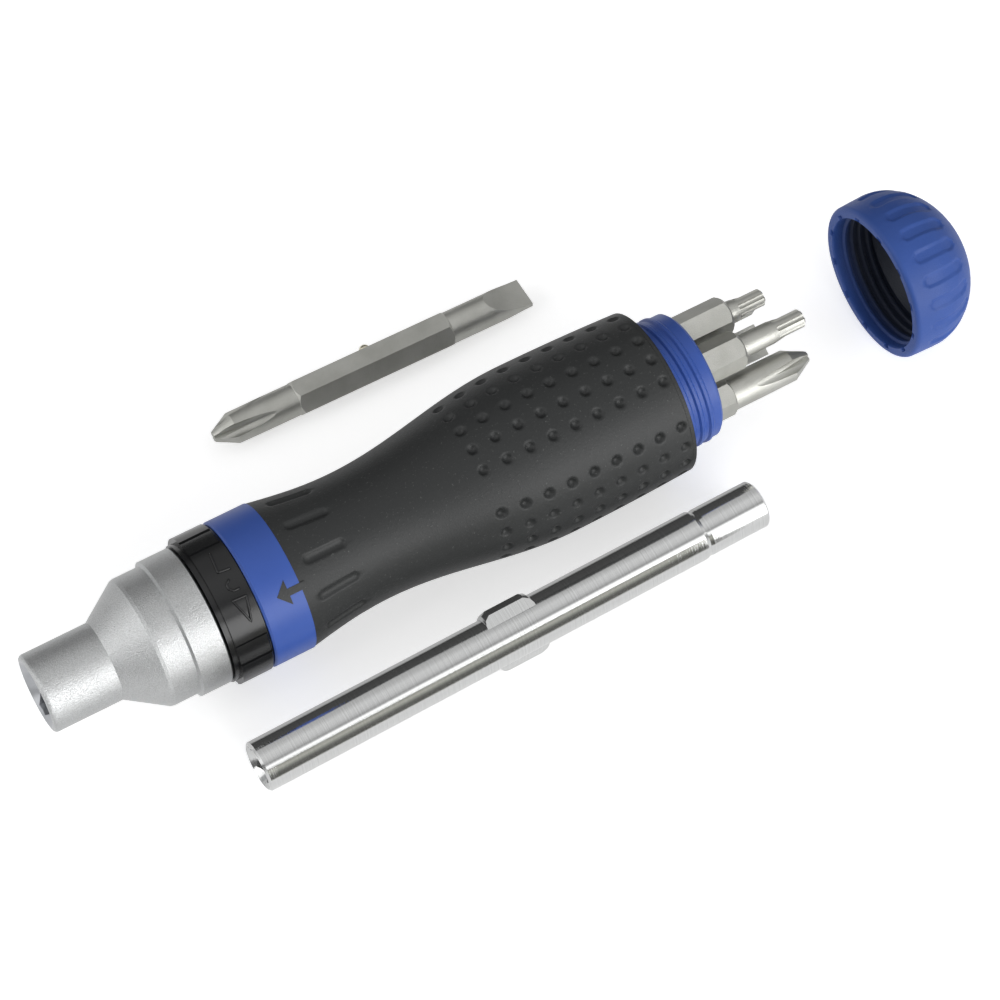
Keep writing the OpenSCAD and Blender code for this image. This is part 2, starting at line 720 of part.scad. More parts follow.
module cap() color("#6f83c4") {
    belly_x = cap_len * belly_x_share;
    belly_r = cap_r + belly_h;
    bore_r = neck_r + cap_bore_gap;
    bore_end = neck_len + ring_gap;
    dome_in = cap_len - cap_wall - belly_x;
    flute_cut_r = (pow(flute_w / 2, 2) + pow(flute_depth, 2)) / (2 * flute_depth);
    flute_x = cap_len * flute_x_share;
    flute_r = belly_r * sqrt(1 - pow((flute_x - belly_x) / (cap_len - belly_x), 2)) - flute_depth + flute_cut_r;
    inner_start = asin((bore_end - belly_x) / dome_in);
    translate([cap_x, 0, 0]) difference() {
        turned(concat(
            [[0, 0], [0, cap_r - rim_edge]],
            [for (t = [30, 60, 90]) [rim_edge * (1 - cos(t)), cap_r - rim_edge * (1 - sin(t))]],
            [for (t = [0:5:90]) [belly_x + (cap_len - belly_x) * sin(t), belly_r * cos(t)]]));
        turned(concat(
            [[-over, 0], [-over, bore_r], [bore_end, bore_r]],
            [for (i = [0:8]) let (t = inner_start + (90 - inner_start) * i / 8)
                [belly_x + dome_in * sin(t), (belly_r - cap_wall) * cos(t)]]));
        for (i = [0:flute_count - 1]) place(flute_r, (i + 0.5) * 360 / flute_count)
            translate([flute_x, 0, 0]) rotate([0, flute_tilt, 0]) rod(-flute_x, 2 * flute_x, flute_cut_r);
        for (i = [0:notch_count - 1]) place(0, i * 360 / notch_count)
            translate([-over, -notch_w / 2, bore_r - over]) cube([over + notch_len, notch_w, over + notch_depth]);
    }
}

// Loose pieces are drawn along +X from their left end and moved to where they lie
module at_shaft() {
    translate([shaft_x, shaft_y, floor_z + shaft_r]) rotate([0, 0, shaft_turn]) children();
}

module at_loose_bit() {
    translate([loose_bit_x, loose_bit_y, floor_z + bit_af / 2]) rotate([0, 0, loose_bit_turn]) children();
}

module at_pocket(i) {
    place(pocket_circle_r, first_pocket_angle + i * 360 / pocket_count)
        translate([pocket_x + pocket_room + pull_shares[i] * cap_travel, 0, 0]) children();
}

shaft_edge = 0.4;
shaft_neck_w = 0.7;
shaft_neck_depth = 0.15;
wing_corner = 1.6;
shaft_mouth_r = 4.1;
shaft_mouth_depth = 1.3;

// Outside of the shaft: tube, turned-down end and driving wings
module shaft_outside() {
    end_x = shaft_len - shaft_end_len;
    end_r = shaft_end_d / 2;
    wing_x = (shaft_len - wing_len) / 2;
    turned([[0, 0], [0, shaft_r - shaft_edge], [shaft_edge, shaft_r], [end_x - shaft_neck_w, shaft_r],
        [end_x, end_r - shaft_neck_depth], [end_x + shaft_neck_w, end_r],
        [shaft_len - shaft_edge, end_r], [shaft_len, end_r - shaft_edge], [shaft_len, 0]]);
    intersection() {
        rotate([shaft_wing_angle, 0, 0]) slab(wing_x - over, wing_len + 2 * over) wing_section(0);
        turned([[wing_x, 0], [wing_x, shaft_r + 0.2 * wing_h],
            [wing_x + 0.25 * wing_corner, shaft_r + 0.7 * wing_h], [wing_x + wing_corner, wing_r + 0.2 * wing_h],
            [wing_x + wing_len - wing_corner, wing_r + 0.2 * wing_h],
            [wing_x + wing_len - 0.25 * wing_corner, shaft_r + 0.7 * wing_h],
            [wing_x + wing_len, shaft_r + 0.2 * wing_h], [wing_x + wing_len, 0]]);
    }
}

// Chromed tube with a bit socket at each end; each socket has a groove for a bit's catch ball
module shaft_tube() color("#d5d8db") at_shaft() {
    difference() {
        difference() {
            shaft_outside();
            hex_rod(-over, shaft_len + 2 * over, socket_af);
            for (x = [socket_depth - bit_len / 2, shaft_len - socket_depth + bit_len / 2])
                rod(x - catch_groove_w / 2, catch_groove_w, catch_groove_r);
        }
        for (end = [0, 1]) translate([end * shaft_len, 0, 0]) rotate([0, 0, end * 180])
            turned([[-over, 0], [-over, shaft_mouth_r], [0, shaft_mouth_r], [shaft_mouth_depth, socket_af / 2],
                [shaft_mouth_depth, 0]]);
    }
}

module bit_stop() color("#8f9296") at_shaft() hex_rod((shaft_len - stop_len) / 2, stop_len, socket_af - 2 * press_gap);

// Shares of a bit's radius and length that shape the tips
cross_point_share = 0.33;
cross_cone_share = 1.25;
cross_web_share = 0.19;
cross_flute_tilt = 13;
cross_wheel_share = 0.4;
cross_wheel_at_share = 0.36;
cross_wheel_tilt = 9.5;
star_len_share = 2.4;
star_flare_share = 1.4;
star_groove_share = 0.3;
star_groove_at_share = 1.02;
square_len_share = 3.2;
slot_grind_share = 5;
hex_chamfer_share = 0.12;

// Cross-recess tip: a pointed cone with four ground flutes; its point is at the left
module cross_end(tip_r, neck_r, length) {
    point_r = tip_r * cross_point_share;
    web = tip_r * cross_web_share;
    difference() {
        turned([[0, 0], [0, point_r], [tip_r * cross_cone_share, tip_r], [length, neck_r], [length, 0]]);
        for (a = [45:90:315]) rotate([a, 0, 0]) translate([0, 0, web]) rotate([0, -cross_flute_tilt, 0])
            slab(-over, length + over) polygon([[0, 0], [2 * neck_r, 2 * neck_r], [-2 * neck_r, 2 * neck_r]]);
        for (a = [45:90:315]) rotate([a, 0, 0])
            translate([0, 0, tip_r * (cross_wheel_at_share + cross_wheel_share)]) rotate([0, -cross_wheel_tilt, 0])
                rod(-over, length + over, tip_r * cross_wheel_share);
    }
}

// Six-lobed star tip with its grooves run out into the flare
module star_end(tip_r, neck_r, length) {
    star_len = tip_r * star_len_share;
    flare = tip_r * star_flare_share;
    groove_r = tip_r * star_groove_share;
    difference() {
        turned([[0, 0], [0, tip_r - groove_r / 2], [groove_r / 2, tip_r], [star_len, tip_r],
            [star_len + flare, neck_r], [length, neck_r], [length, 0]]);
        for (a = [0:60:300]) place(tip_r * star_groove_at_share, a) {
            rod(-over, over + star_len + flare / 2, groove_r);
            translate([star_len + flare / 2, 0, 0]) sphere(r = groove_r);
        }
    }
}

// Square tip: tip_r is half its width
module square_end(tip_r, neck_r, length) {
    square_len = tip_r * square_len_share;
    root = neck_r - tip_r;
    intersection() {
        translate([0, -tip_r, -tip_r]) cube([square_len + root, 2 * tip_r, 2 * tip_r]);
        turned([[0, 0], [0, tip_r], [tip_r / 2, 2 * tip_r], [2 * square_len, 2 * tip_r], [2 * square_len, 0]]);
    }
    turned([[square_len, 0], [square_len, tip_r], [square_len + root, neck_r], [length, neck_r], [length, 0]]);
}

// Slotted tip: a round neck ground hollow on two sides; tip_r is half the blade's thickness
module slot_end(tip_r, neck_r, length) {
    grind_r = neck_r * slot_grind_share;
    difference() {
        rod(0, length, neck_r);
        for (a = [0, 180]) place(tip_r + grind_r, a) rotate([90, 0, 0]) cylinder(h = 4 * neck_r, r = grind_r, center = true);
    }
}

module bit_end(shares) {
    tip_r = shares[1] * bit_af;
    neck_r = shares[2] * bit_af;
    length = shares[3] * bit_len + bit_af * hex_chamfer_share;
    if (shares[0] == "cross") cross_end(tip_r, neck_r, length);
    if (shares[0] == "star") star_end(tip_r, neck_r, length);
    if (shares[0] == "square") square_end(tip_r, neck_r, length);
    if (shares[0] == "slot") slot_end(tip_r, neck_r, length);
}

// Whole bit along +X; ball_angle is the flat that carries the catch ball
module bit(shares, ball_angle) {
    x0 = shares[0][3] * bit_len;
    x1 = bit_len - shares[1][3] * bit_len;
    corner_r = bit_af / 2 / cos(30);
    chamfer = bit_af * hex_chamfer_share;
    difference() {
        union() {
            intersection() {
                hex_rod(x0, x1 - x0, bit_af);
                turned([[x0, 0], [x0, corner_r - chamfer], [x0 + chamfer, corner_r], [x0 + chamfer, 2 * corner_r],
                    [x1 - chamfer, 2 * corner_r], [x1 - chamfer, corner_r], [x1, corner_r - chamfer], [x1, 0]]);
            }
            bit_end(shares[0]);
            translate([bit_len, 0, 0]) rotate([0, 0, 180]) bit_end(shares[1]);
        }
        place(bit_af / 2 - ball_bore_depth, ball_angle) translate([bit_len / 2, 0, 0])
            cylinder(h = ball_bore_depth + over, r = bit_ball_r + ball_bore_gap);
    }
}

// Catch ball at the middle of a bit, standing out of its flat
module catch_ball(ball_angle, stand) {
    place(bit_af / 2 + stand - bit_ball_r, ball_angle) translate([bit_len / 2, 0, 0]) sphere(r = bit_ball_r);
}

// Its spring, between the ball and the floor of the bore
module catch_spring(ball_angle, stand) {
    start = bit_af / 2 - ball_bore_depth + ball_spring_wire_r + run_gap;
    end = bit_af / 2 + stand - 2 * bit_ball_r - ball_spring_wire_r - run_gap;
    place(start, ball_angle) translate([bit_len / 2, 0, 0])
        spring(bit_ball_r - 2 * ball_spring_wire_r, ball_spring_wire_r, end - start, ball_spring_turns);
}

module stored_bit(i) at_pocket(i) bit(stored_bit_shares[i], 0);
module stored_ball(i) at_pocket(i) catch_ball(0, ball_pressed_stand);
module stored_spring(i) at_pocket(i) catch_spring(0, ball_pressed_stand);

module loose_bit() color("#8b8b80") at_loose_bit() bit(loose_bit_shares, loose_ball_angle);
module loose_bit_ball() color("#c69c4c") at_loose_bit() catch_ball(loose_ball_angle, ball_stand);
module loose_bit_spring() color("#a7aab0") at_loose_bit() catch_spring(loose_ball_angle, ball_stand);

module star_bit_small() color("#8b8b80") stored_bit(0);
module star_bit_small_ball() color("#c69c4c") stored_ball(0);
module star_bit_small_spring() color("#a7aab0") stored_spring(0);
module star_bit_large() color("#8b8b80") stored_bit(1);
module star_bit_large_ball() color("#c69c4c") stored_ball(1);
module star_bit_large_spring() color("#a7aab0") stored_spring(1);
module cross_bit_large() color("#8b8b80") stored_bit(2);
module cross_bit_large_ball() color("#c69c4c") stored_ball(2);
module cross_bit_large_spring() color("#a7aab0") stored_spring(2);
module square_bit() color("#8b8b80") stored_bit(3);
module square_bit_ball() color("#c69c4c") stored_ball(3);
module square_bit_spring() color("#a7aab0") stored_spring(3);
module slotted_bit() color("#8b8b80") stored_bit(4);
module slotted_bit_ball() color("#c69c4c") stored_ball(4);
module slotted_bit_spring() color("#a7aab0") stored_spring(4);
module cross_bit_small() color("#8b8b80") stored_bit(5);
module cross_bit_small_ball() color("#c69c4c") stored_ball(5);
module cross_bit_small_spring() color("#a7aab0") stored_spring(5);

nose_shell();
drive_socket();
ratchet_gear();
shaft_retainer();
retaining_ring();
thrust_washer();
bearing_bush();
pawl_carrier();
pawl_cover();
carrier_screws();
pawl_forward();
pawl_reverse();
pawl_pins();
pawl_spring();
selector_ring();
selector_ball();
selector_spring();
handle_core();
grip();
cap();
shaft_tube();
bit_stop();
loose_bit();
loose_bit_ball();
loose_bit_spring();
star_bit_small();
star_bit_small_ball();
star_bit_small_spring();
star_bit_large();
star_bit_large_ball();
star_bit_large_spring();
cross_bit_large();
cross_bit_large_ball();
cross_bit_large_spring();
square_bit();
square_bit_ball();
square_bit_spring();
slotted_bit();
slotted_bit_ball();
slotted_bit_spring();
cross_bit_small();
cross_bit_small_ball();
cross_bit_small_spring();
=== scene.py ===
# %% [markdown]
# # A ratcheting screwdriver, dressed for the camera
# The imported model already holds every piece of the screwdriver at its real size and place. This lesson keeps
# those pieces where they are, gives each a finish, and adds the small forms that are easier to model here:
# the dimples of the rubber, the flutes of the cap, the threads, and the marks of the selector.

import json
import math

import bmesh
import bpy
from mathutils import Matrix, Vector


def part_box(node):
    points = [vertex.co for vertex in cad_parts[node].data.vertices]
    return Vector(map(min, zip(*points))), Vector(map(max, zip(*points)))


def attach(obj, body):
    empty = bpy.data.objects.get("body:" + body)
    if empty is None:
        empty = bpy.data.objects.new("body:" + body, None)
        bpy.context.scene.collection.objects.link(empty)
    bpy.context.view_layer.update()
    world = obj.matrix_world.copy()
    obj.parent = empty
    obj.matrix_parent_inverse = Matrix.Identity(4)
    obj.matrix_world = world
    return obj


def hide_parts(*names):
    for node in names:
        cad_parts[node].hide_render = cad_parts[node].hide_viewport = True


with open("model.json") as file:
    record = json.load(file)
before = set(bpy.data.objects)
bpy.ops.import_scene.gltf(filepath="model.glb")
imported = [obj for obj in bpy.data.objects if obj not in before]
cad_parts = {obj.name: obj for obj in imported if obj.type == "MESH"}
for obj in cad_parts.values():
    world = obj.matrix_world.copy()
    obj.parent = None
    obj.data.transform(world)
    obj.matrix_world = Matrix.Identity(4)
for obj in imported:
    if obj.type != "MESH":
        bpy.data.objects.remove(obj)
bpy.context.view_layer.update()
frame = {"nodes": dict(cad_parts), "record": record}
nodes = frame["nodes"]

# %% [markdown]
# ## Sizes
# Blender works in metres here, so one millimetre gets a name. The tool's axis is the X axis, and an angle
# about it is counted from the top towards -Y. The ends of the pieces are read from their boxes in the packed
# model, so the added forms start and stop where its pieces do.

# %% Units and places
MM = 0.001


def start(name):
    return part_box(name)[0].x


def end(name):
    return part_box(name)[1].x


def around(x, radius, angle):
    """Point at a place along the tool's axis, a radius and an angle in degrees."""
    a = math.radians(angle)
    return Vector((x, -radius * math.sin(a), radius * math.cos(a)))


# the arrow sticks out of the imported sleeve's front, so the sleeve's own front edge follows from its length
grip_len = 74.9 * MM
grip_end = end("grip")
grip_start = grip_end - grip_len
floor_z = min(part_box("shaft_tube")[0].z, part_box("loose_bit")[0].z)
mark_angle = 42.5  # of the arrow and of the empty row of dimples in line with it
print("rubber from", round(grip_start / MM, 1), "to", round(grip_end / MM, 1), "mm")
print("floor at", round(floor_z / MM, 2), "mm")

# %% [markdown]
# ## The camera
# The photograph looks down on the tool from in front of the nose, from about half a metre. A long lens of
# 120 mm keeps the handle's sides nearly parallel, as they are there.

# %% Camera
camera = bpy.data.objects.new("camera", bpy.data.cameras.new("camera"))
bpy.context.scene.collection.objects.link(camera)
camera_forward = Vector((0.26562, 0.45585, -0.84950)).normalized()
camera_right = Vector((0.8640, -0.5035, 0.0)).normalized()
camera_up = camera_right.cross(camera_forward)
camera_place = Vector((-67.64, -271.27, 494.41)) * MM
camera_turn = Matrix((camera_right, camera_up, -camera_forward)).transposed().to_4x4()
camera.matrix_world = Matrix.Translation(camera_place) @ camera_turn
camera.data.lens = 120
camera.data.sensor_width = 36
camera.data.clip_start = 0.01
bpy.context.scene.camera = camera

# %% [markdown]
# ## Node tools
# Every finish is a node tree on the Principled shader. These helpers add nodes and join them by name, so each
# material below reads as a short recipe.


# %% Helpers for node trees
def add_node(tree, kind, **values):
    """New node; values are its properties, or its inputs where the name is that of a socket."""
    node = tree.nodes.new(kind)
    for name, value in values.items():
        if hasattr(node, name):
            setattr(node, name, value)
        else:
            node.inputs[name.replace("_", " ")].default_value = value
    return node


def join(tree, source, output, target, socket):
    tree.links.new(source.outputs[output], target.inputs[socket])


def colour_sockets(sockets):
    """The colour ones of a Mix node, which has sockets of the same names for numbers and vectors."""
    return [socket for socket in sockets if socket.type == "RGBA"]


def new_material(name, base, roughness, metallic=0.0, **more):
    """Principled material; more are further sockets of the shader."""
    material = bpy.data.materials.new(name)
    material.use_nodes = True
    tree = material.node_tree
    shader = tree.nodes["Principled BSDF"]
    shader.inputs["Base Color"].default_value = (*base, 1)
    shader.inputs["Roughness"].default_value = roughness
    shader.inputs["Metallic"].default_value = metallic
    for socket, value in more.items():
        shader.inputs[socket.replace("_", " ")].default_value = value
    return material, tree, shader


# %% [markdown]
# ## Shared surface effects
# Three effects come back in many finishes, so each is a node group with its own inputs: a grain (moulded or
# blasted texture), a mottle (slow change of tone, as from handling), and turning marks (fine rings round an
# axis that a lathe leaves). A fourth group tells the inside of the cap from its outside. They read Object
# coordinates, so they keep their scale on every piece.


# %% Node groups for grain, mottle, turning marks and the inside of a piece
def new_group(name, inputs, outputs):
    group = bpy.data.node_groups.new(name, "ShaderNodeTree")
    for label, default in inputs:
        socket = group.interface.new_socket(label, in_out="INPUT", socket_type="NodeSocketFloat")
        socket.default_value = default
    for label in outputs:
        group.interface.new_socket(label, in_out="OUTPUT", socket_type="NodeSocketFloat")
    return group, group.nodes.new("NodeGroupInput"), group.nodes.new("NodeGroupOutput")


def build_grain():
    """Fine noise as a height, and the tops of that noise as specks."""
    inputs = [("Size per metre", 3000), ("Detail", 3)]
    group, given, result = new_group("grain", inputs, ["Height", "Specks"])
    place = add_node(group, "ShaderNodeTexCoord")
    noise = add_node(group, "ShaderNodeTexNoise", Roughness=0.6)
    join(group, place, "Object", noise, "Vector")
    join(group, given, "Size per metre", noise, "Scale")
    join(group, given, "Detail", noise, "Detail")
    specks = add_node(group, "ShaderNodeMapRange", From_Min=0.62, From_Max=0.78)
    join(group, noise, "Fac", specks, "Value")
    join(group, noise, "Fac", result, "Height")
    join(group, specks, "Result", result, "Specks")
    return group


def build_mottle():
    """Coarse noise as a value between two numbers."""
    inputs = [("Size per metre", 60), ("Low", 0.9), ("High", 1.1)]
    group, given, result = new_group("mottle", inputs, ["Value"])
    place = add_node(group, "ShaderNodeTexCoord")
    noise = add_node(group, "ShaderNodeTexNoise", Detail=4.0, Roughness=0.55)
    spread = add_node(group, "ShaderNodeMapRange", From_Min=0.3, From_Max=0.7)
    join(group, place, "Object", noise, "Vector")
    join(group, given, "Size per metre", noise, "Scale")
    join(group, noise, "Fac", spread, "Value")
    join(group, given, "Low", spread, "To Min")
    join(group, given, "High", spread, "To Max")
    join(group, spread, "Result", result, "Value")
    return group


def build_turning_marks():
    """Noise along the X axis only, after a turn about Z that lays the piece's own axis along X."""
    inputs = [("Rings per metre", 3000), ("Turn", 0.0)]
    group, given, result = new_group("turning_marks", inputs, ["Height"])
    place = add_node(group, "ShaderNodeTexCoord")
    turn = add_node(group, "ShaderNodeVectorRotate", rotation_type="Z_AXIS")
    along = add_node(group, "ShaderNodeSeparateXYZ")
    scale = add_node(group, "ShaderNodeMath", operation="MULTIPLY")
    rings = add_node(group, "ShaderNodeTexNoise", noise_dimensions="1D", Detail=3.0, Roughness=0.7)
    rings.inputs["Scale"].default_value = 1.0
    join(group, place, "Object", turn, "Vector")
    join(group, given, "Turn", turn, "Angle")
    join(group, turn, "Vector", along, "Vector")
    join(group, along, "X", scale, 0)
    join(group, given, "Rings per metre", scale, 1)
    join(group, scale, "Value", rings, "W")
    join(group, rings, "Fac", result, "Height")
    return group


def build_inside():
    """How deep a place lies in a bore that ends in a dome: 0 at its mouth and outside, 1 from Fade on."""
    inputs = [
        ("Mouth", 0.0), ("Fade", 0.003), ("Dome start", 0.0), ("Dome length", 0.01), ("Radius", 0.01),
    ]
    group, given, result = new_group("inside", inputs, ["Mask"])
    place = add_node(group, "ShaderNodeTexCoord")
    parts = add_node(group, "ShaderNodeSeparateXYZ")
    join(group, place, "Object", parts, "Vector")
    into_dome = add_node(group, "ShaderNodeMath", operation="SUBTRACT")
    join(group, parts, "X", into_dome, 0)
    join(group, given, "Dome start", into_dome, 1)
    past = add_node(group, "ShaderNodeMath", operation="MAXIMUM")
    past.inputs[1].default_value = 0
    join(group, into_dome, "Value", past, 0)
    point = add_node(group, "ShaderNodeCombineXYZ")
    axes = ((past, "Value", "Dome length"), (parts, "Y", "Radius"), (parts, "Z", "Radius"))
    for i, (source, output, size) in enumerate(axes):
        share = add_node(group, "ShaderNodeMath", operation="DIVIDE")
        join(group, source, output, share, 0)
        join(group, given, size, share, 1)
        join(group, share, "Value", point, i)
    away = add_node(group, "ShaderNodeVectorMath", operation="LENGTH")
    join(group, point, "Vector", away, 0)
    near = add_node(group, "ShaderNodeMath", operation="LESS_THAN")
    near.inputs[1].default_value = 1
    join(group, away, "Value", near, 0)
    depth = add_node(group, "ShaderNodeMath", operation="SUBTRACT")
    join(group, parts, "X", depth, 0)
    join(group, given, "Mouth", depth, 1)
    deep = add_node(group, "ShaderNodeMath", operation="DIVIDE", use_clamp=True)
    join(group, depth, "Value", deep, 0)
    join(group, given, "Fade", deep, 1)
    mask = add_node(group, "ShaderNodeMath", operation="MULTIPLY")
    join(group, near, "Value", mask, 0)
    join(group, deep, "Value", mask, 1)
    join(group, mask, "Value", result, "Mask")
    return group


GRAIN, MOTTLE, TURNING, INSIDE = build_grain(), build_mottle(), build_turning_marks(), build_inside()


def effect(tree, group, **values):
    """The group placed in a material with its own values."""
    node = tree.nodes.new("ShaderNodeGroup")
    node.node_tree = group
    for name, value in values.items():
        node.inputs[name.replace("_", " ")].default_value = value
    return node


def bump(tree, shader, node, output, distance, strength):
    """Lets an effect's value raise the surface; distance is the depth of that relief."""
    relief = add_node(tree, "ShaderNodeBump", Strength=strength, Distance=distance)
    join(tree, node, output, relief, "Height")
    join(tree, relief, "Normal", shader, "Normal")


def vary(tree, shader, node, output, socket, low, high):
    """Lets an effect's value move a socket between two numbers."""
    spread = add_node(tree, "ShaderNodeMapRange", To_Min=low, To_Max=high)
    join(tree, node, output, spread, "Value")
    join(tree, spread, "Result", shader, socket)


def tone(tree, shader, node, output, low, high):
    """Lets an effect's value mix the base colour between two colours."""
    mix = add_node(tree, "ShaderNodeMix", data_type="RGBA")
    mix.inputs["A"].default_value = (*low, 1)
    mix.inputs["B"].default_value = (*high, 1)
    join(tree, node, output, mix, "Factor")
    tree.links.new(colour_sockets(mix.outputs)[0], shader.inputs["Base Color"])


# %% [markdown]
# ## Metals
# The nose is bead-blasted aluminium: tiny pits scatter the light, and single grains sparkle. The shaft is
# chrome over a turned tube, so it mirrors the studio while fine rings break the reflection up, and the same
# rings are also painted into its colour as lighter and darker bands of painted reflection. The bits are
# plain steel with a dull grey finish, slightly olive.


# %% Metal finishes
def make_blasted_aluminium():
    material, tree, shader = new_material("blasted aluminium", (0.45, 0.455, 0.455), 0.36, 1.0)
    grain = effect(tree, GRAIN, Size_per_metre=4800, Detail=2)
    tone(tree, shader, grain, "Height", (0.26, 0.265, 0.265), (0.70, 0.71, 0.715))
    vary(tree, shader, grain, "Height", "Roughness", 0.22, 0.44)
    bump(tree, shader, grain, "Height", 0.14 * MM, 0.8)
    return material


def make_turned_chrome():
    material, tree, shader = new_material("turned chrome", (0.62, 0.625, 0.625), 0.09, 1.0)
    rings = effect(tree, TURNING, Rings_per_metre=3600, Turn=math.radians(-1.07))
    # the rings' relief and roughness are real, but the lighter and darker bands they give the base colour are
    # painted reflection, standing in for how each turned ring catches the light
    tone(tree, shader, rings, "Height", (0.50, 0.50, 0.495), (0.70, 0.71, 0.71))
    bump(tree, shader, rings, "Height", 0.04 * MM, 0.7)
    vary(tree, shader, rings, "Height", "Roughness", 0.06, 0.2)
    return material


def make_bit_steel():
    material, tree, shader = new_material("dull bit steel", (0.33, 0.33, 0.30), 0.55, 1.0)
    mottle = effect(tree, MOTTLE, Size_per_metre=220, Low=0.0, High=1.0)
    grain = effect(tree, GRAIN, Size_per_metre=4200, Detail=3)
    tone(tree, shader, mottle, "Value", (0.42, 0.42, 0.39), (0.50, 0.50, 0.47))
    vary(tree, shader, grain, "Height", "Roughness", 0.36, 0.56)
    bump(tree, shader, grain, "Height", 0.08 * MM, 0.6)
    return material


def make_ground_steel():
    material, tree, shader = new_material("ground steel", (0.42, 0.43, 0.45), 0.28, 1.0)
    rings = effect(tree, TURNING, Rings_per_metre=2600)
    mottle = effect(tree, MOTTLE, Size_per_metre=300, Low=0.0, High=1.0)
    tone(tree, shader, mottle, "Value", (0.38, 0.39, 0.41), (0.48, 0.49, 0.51))
    vary(tree, shader, rings, "Height", "Roughness", 0.2, 0.38)
    bump(tree, shader, rings, "Height", 0.03 * MM, 0.3)
    return material


def make_spring_wire():
    material, tree, shader = new_material("spring wire", (0.52, 0.53, 0.55), 0.22, 1.0)
    mottle = effect(tree, MOTTLE, Size_per_metre=900, Low=0.16, High=0.32)
    join(tree, mottle, "Value", shader, "Roughness")
    return material


def make_brass(name, colour, roughness):
    material, tree, shader = new_material(name, colour, roughness, 1.0)
    mottle = effect(tree, MOTTLE, Size_per_metre=700, Low=roughness * 0.8, High=roughness * 1.4)
    join(tree, mottle, "Value", shader, "Roughness")
    return material


aluminium = make_blasted_aluminium()
chrome = make_turned_chrome()
bit_steel = make_bit_steel()
ground_steel = make_ground_steel()
spring_wire = make_spring_wire()
ball_brass = make_brass("polished brass", (0.66, 0.63, 0.50), 0.16)
bush_bronze = make_brass("bush bronze", (0.60, 0.42, 0.22), 0.4)

# %% [markdown]
# ## Plastics and rubber
# The handle's core and the cap are one blue plastic with two finishes: the core's ring is smooth, the cap has
# a fine moulded grain, and painted shade darkens its inside the deeper it lies. The selector is gloss black.
# The rubber is a very dark grey with pale dust specks that sit in its grain, and it gets a soft sheen where
# the light grazes it.


# %% Plastic and rubber finishes
def make_core_blue():
    material, tree, shader = new_material("core blue", (0.029, 0.086, 0.38), 0.38, Specular_IOR_Level=0.35)
    mottle = effect(tree, MOTTLE, Size_per_metre=45, Low=0.0, High=1.0)
    grain = effect(tree, GRAIN, Size_per_metre=2600, Detail=2)
    tone(tree, shader, mottle, "Value", (0.032, 0.079, 0.32), (0.038, 0.092, 0.37))
    vary(tree, shader, mottle, "Value", "Roughness", 0.34, 0.44)
    bump(tree, shader, grain, "Height", 0.03 * MM, 0.3)
    return material


cap_start, cap_end = start("cap"), end("cap")
# where shade is painted in the cap: from its mouth on, fully after the fade, within a bore and a dome whose
# surfaces lie inside the cap's wall
PAINTED_SHADE_MOUTH, PAINTED_SHADE_FADE = cap_start + 0.3 * MM, 4 * MM
PAINTED_SHADE_RADIUS, PAINTED_SHADE_DOME_START, PAINTED_SHADE_DOME_LENGTH = 13.5 * MM, cap_start + 5.5 * MM, 11 * MM


def make_cap_blue():
    """Blue outside, with painted shade that makes it nearly black deep inside, where little light comes."""
    material, tree, shader = new_material("cap blue", (0.025, 0.078, 0.33), 0.5, Specular_IOR_Level=0.4)
    mottle = effect(tree, MOTTLE, Size_per_metre=60, Low=0.0, High=1.0)
    grain = effect(tree, GRAIN, Size_per_metre=3400, Detail=3)
    tone(tree, shader, mottle, "Value", (0.020, 0.062, 0.26), (0.026, 0.076, 0.31))
    outer = shader.inputs["Base Color"].links[0].from_socket
    inside = effect(
        tree, INSIDE, Mouth=PAINTED_SHADE_MOUTH, Fade=PAINTED_SHADE_FADE, Dome_start=PAINTED_SHADE_DOME_START,
        Dome_length=PAINTED_SHADE_DOME_LENGTH, Radius=PAINTED_SHADE_RADIUS,
    )
    # painted shade: deep in the cap's bore and dome the blue is mixed towards near black, for the little light
    # that reaches there
    painted_shade = add_node(tree, "ShaderNodeMix", data_type="RGBA")
    painted_shade.inputs["B"].default_value = (0.013, 0.018, 0.034, 1)
    join(tree, inside, "Mask", painted_shade, "Factor")
    tree.links.new(outer, painted_shade.inputs["A"])
    tree.links.new(colour_sockets(painted_shade.outputs)[0], shader.inputs["Base Color"])
    vary(tree, shader, grain, "Height", "Roughness", 0.42, 0.6)
    bump(tree, shader, grain, "Height", 0.09 * MM, 0.6)
    return material


def make_selector_black():
    material, tree, shader = new_material(
        "selector black", (0.007, 0.0073, 0.008), 0.2, Specular_IOR_Level=0.44,
    )
    mottle = effect(tree, MOTTLE, Size_per_metre=120, Low=0.15, High=0.27)
    grain = effect(tree, GRAIN, Size_per_metre=1800, Detail=2)
    join(tree, mottle, "Value", shader, "Roughness")
    bump(tree, shader, grain, "Height", 0.02 * MM, 0.25)
    return material


def make_grip_rubber():
    material, tree, shader = new_material(
        "grip rubber", (0.013, 0.014, 0.014), 0.5, Specular_IOR_Level=0.46, Sheen_Weight=0.02,
        Sheen_Roughness=0.5,
    )
    grain = effect(tree, GRAIN, Size_per_metre=2300, Detail=4)
    tone(tree, shader, grain, "Specks", (0.0125, 0.0138, 0.014), (0.085, 0.088, 0.085))
    vary(tree, shader, grain, "Height", "Roughness", 0.42, 0.6)
    bump(tree, shader, grain, "Height", 0.1 * MM, 0.5)
    return material


core_blue = make_core_blue()
cap_blue = make_cap_blue()
selector_black = make_selector_black()
grip_rubber = make_grip_rubber()

# %% [markdown]
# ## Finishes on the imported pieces
# The record already says which slot each piece belongs to, so one table from slot to finish dresses them all.

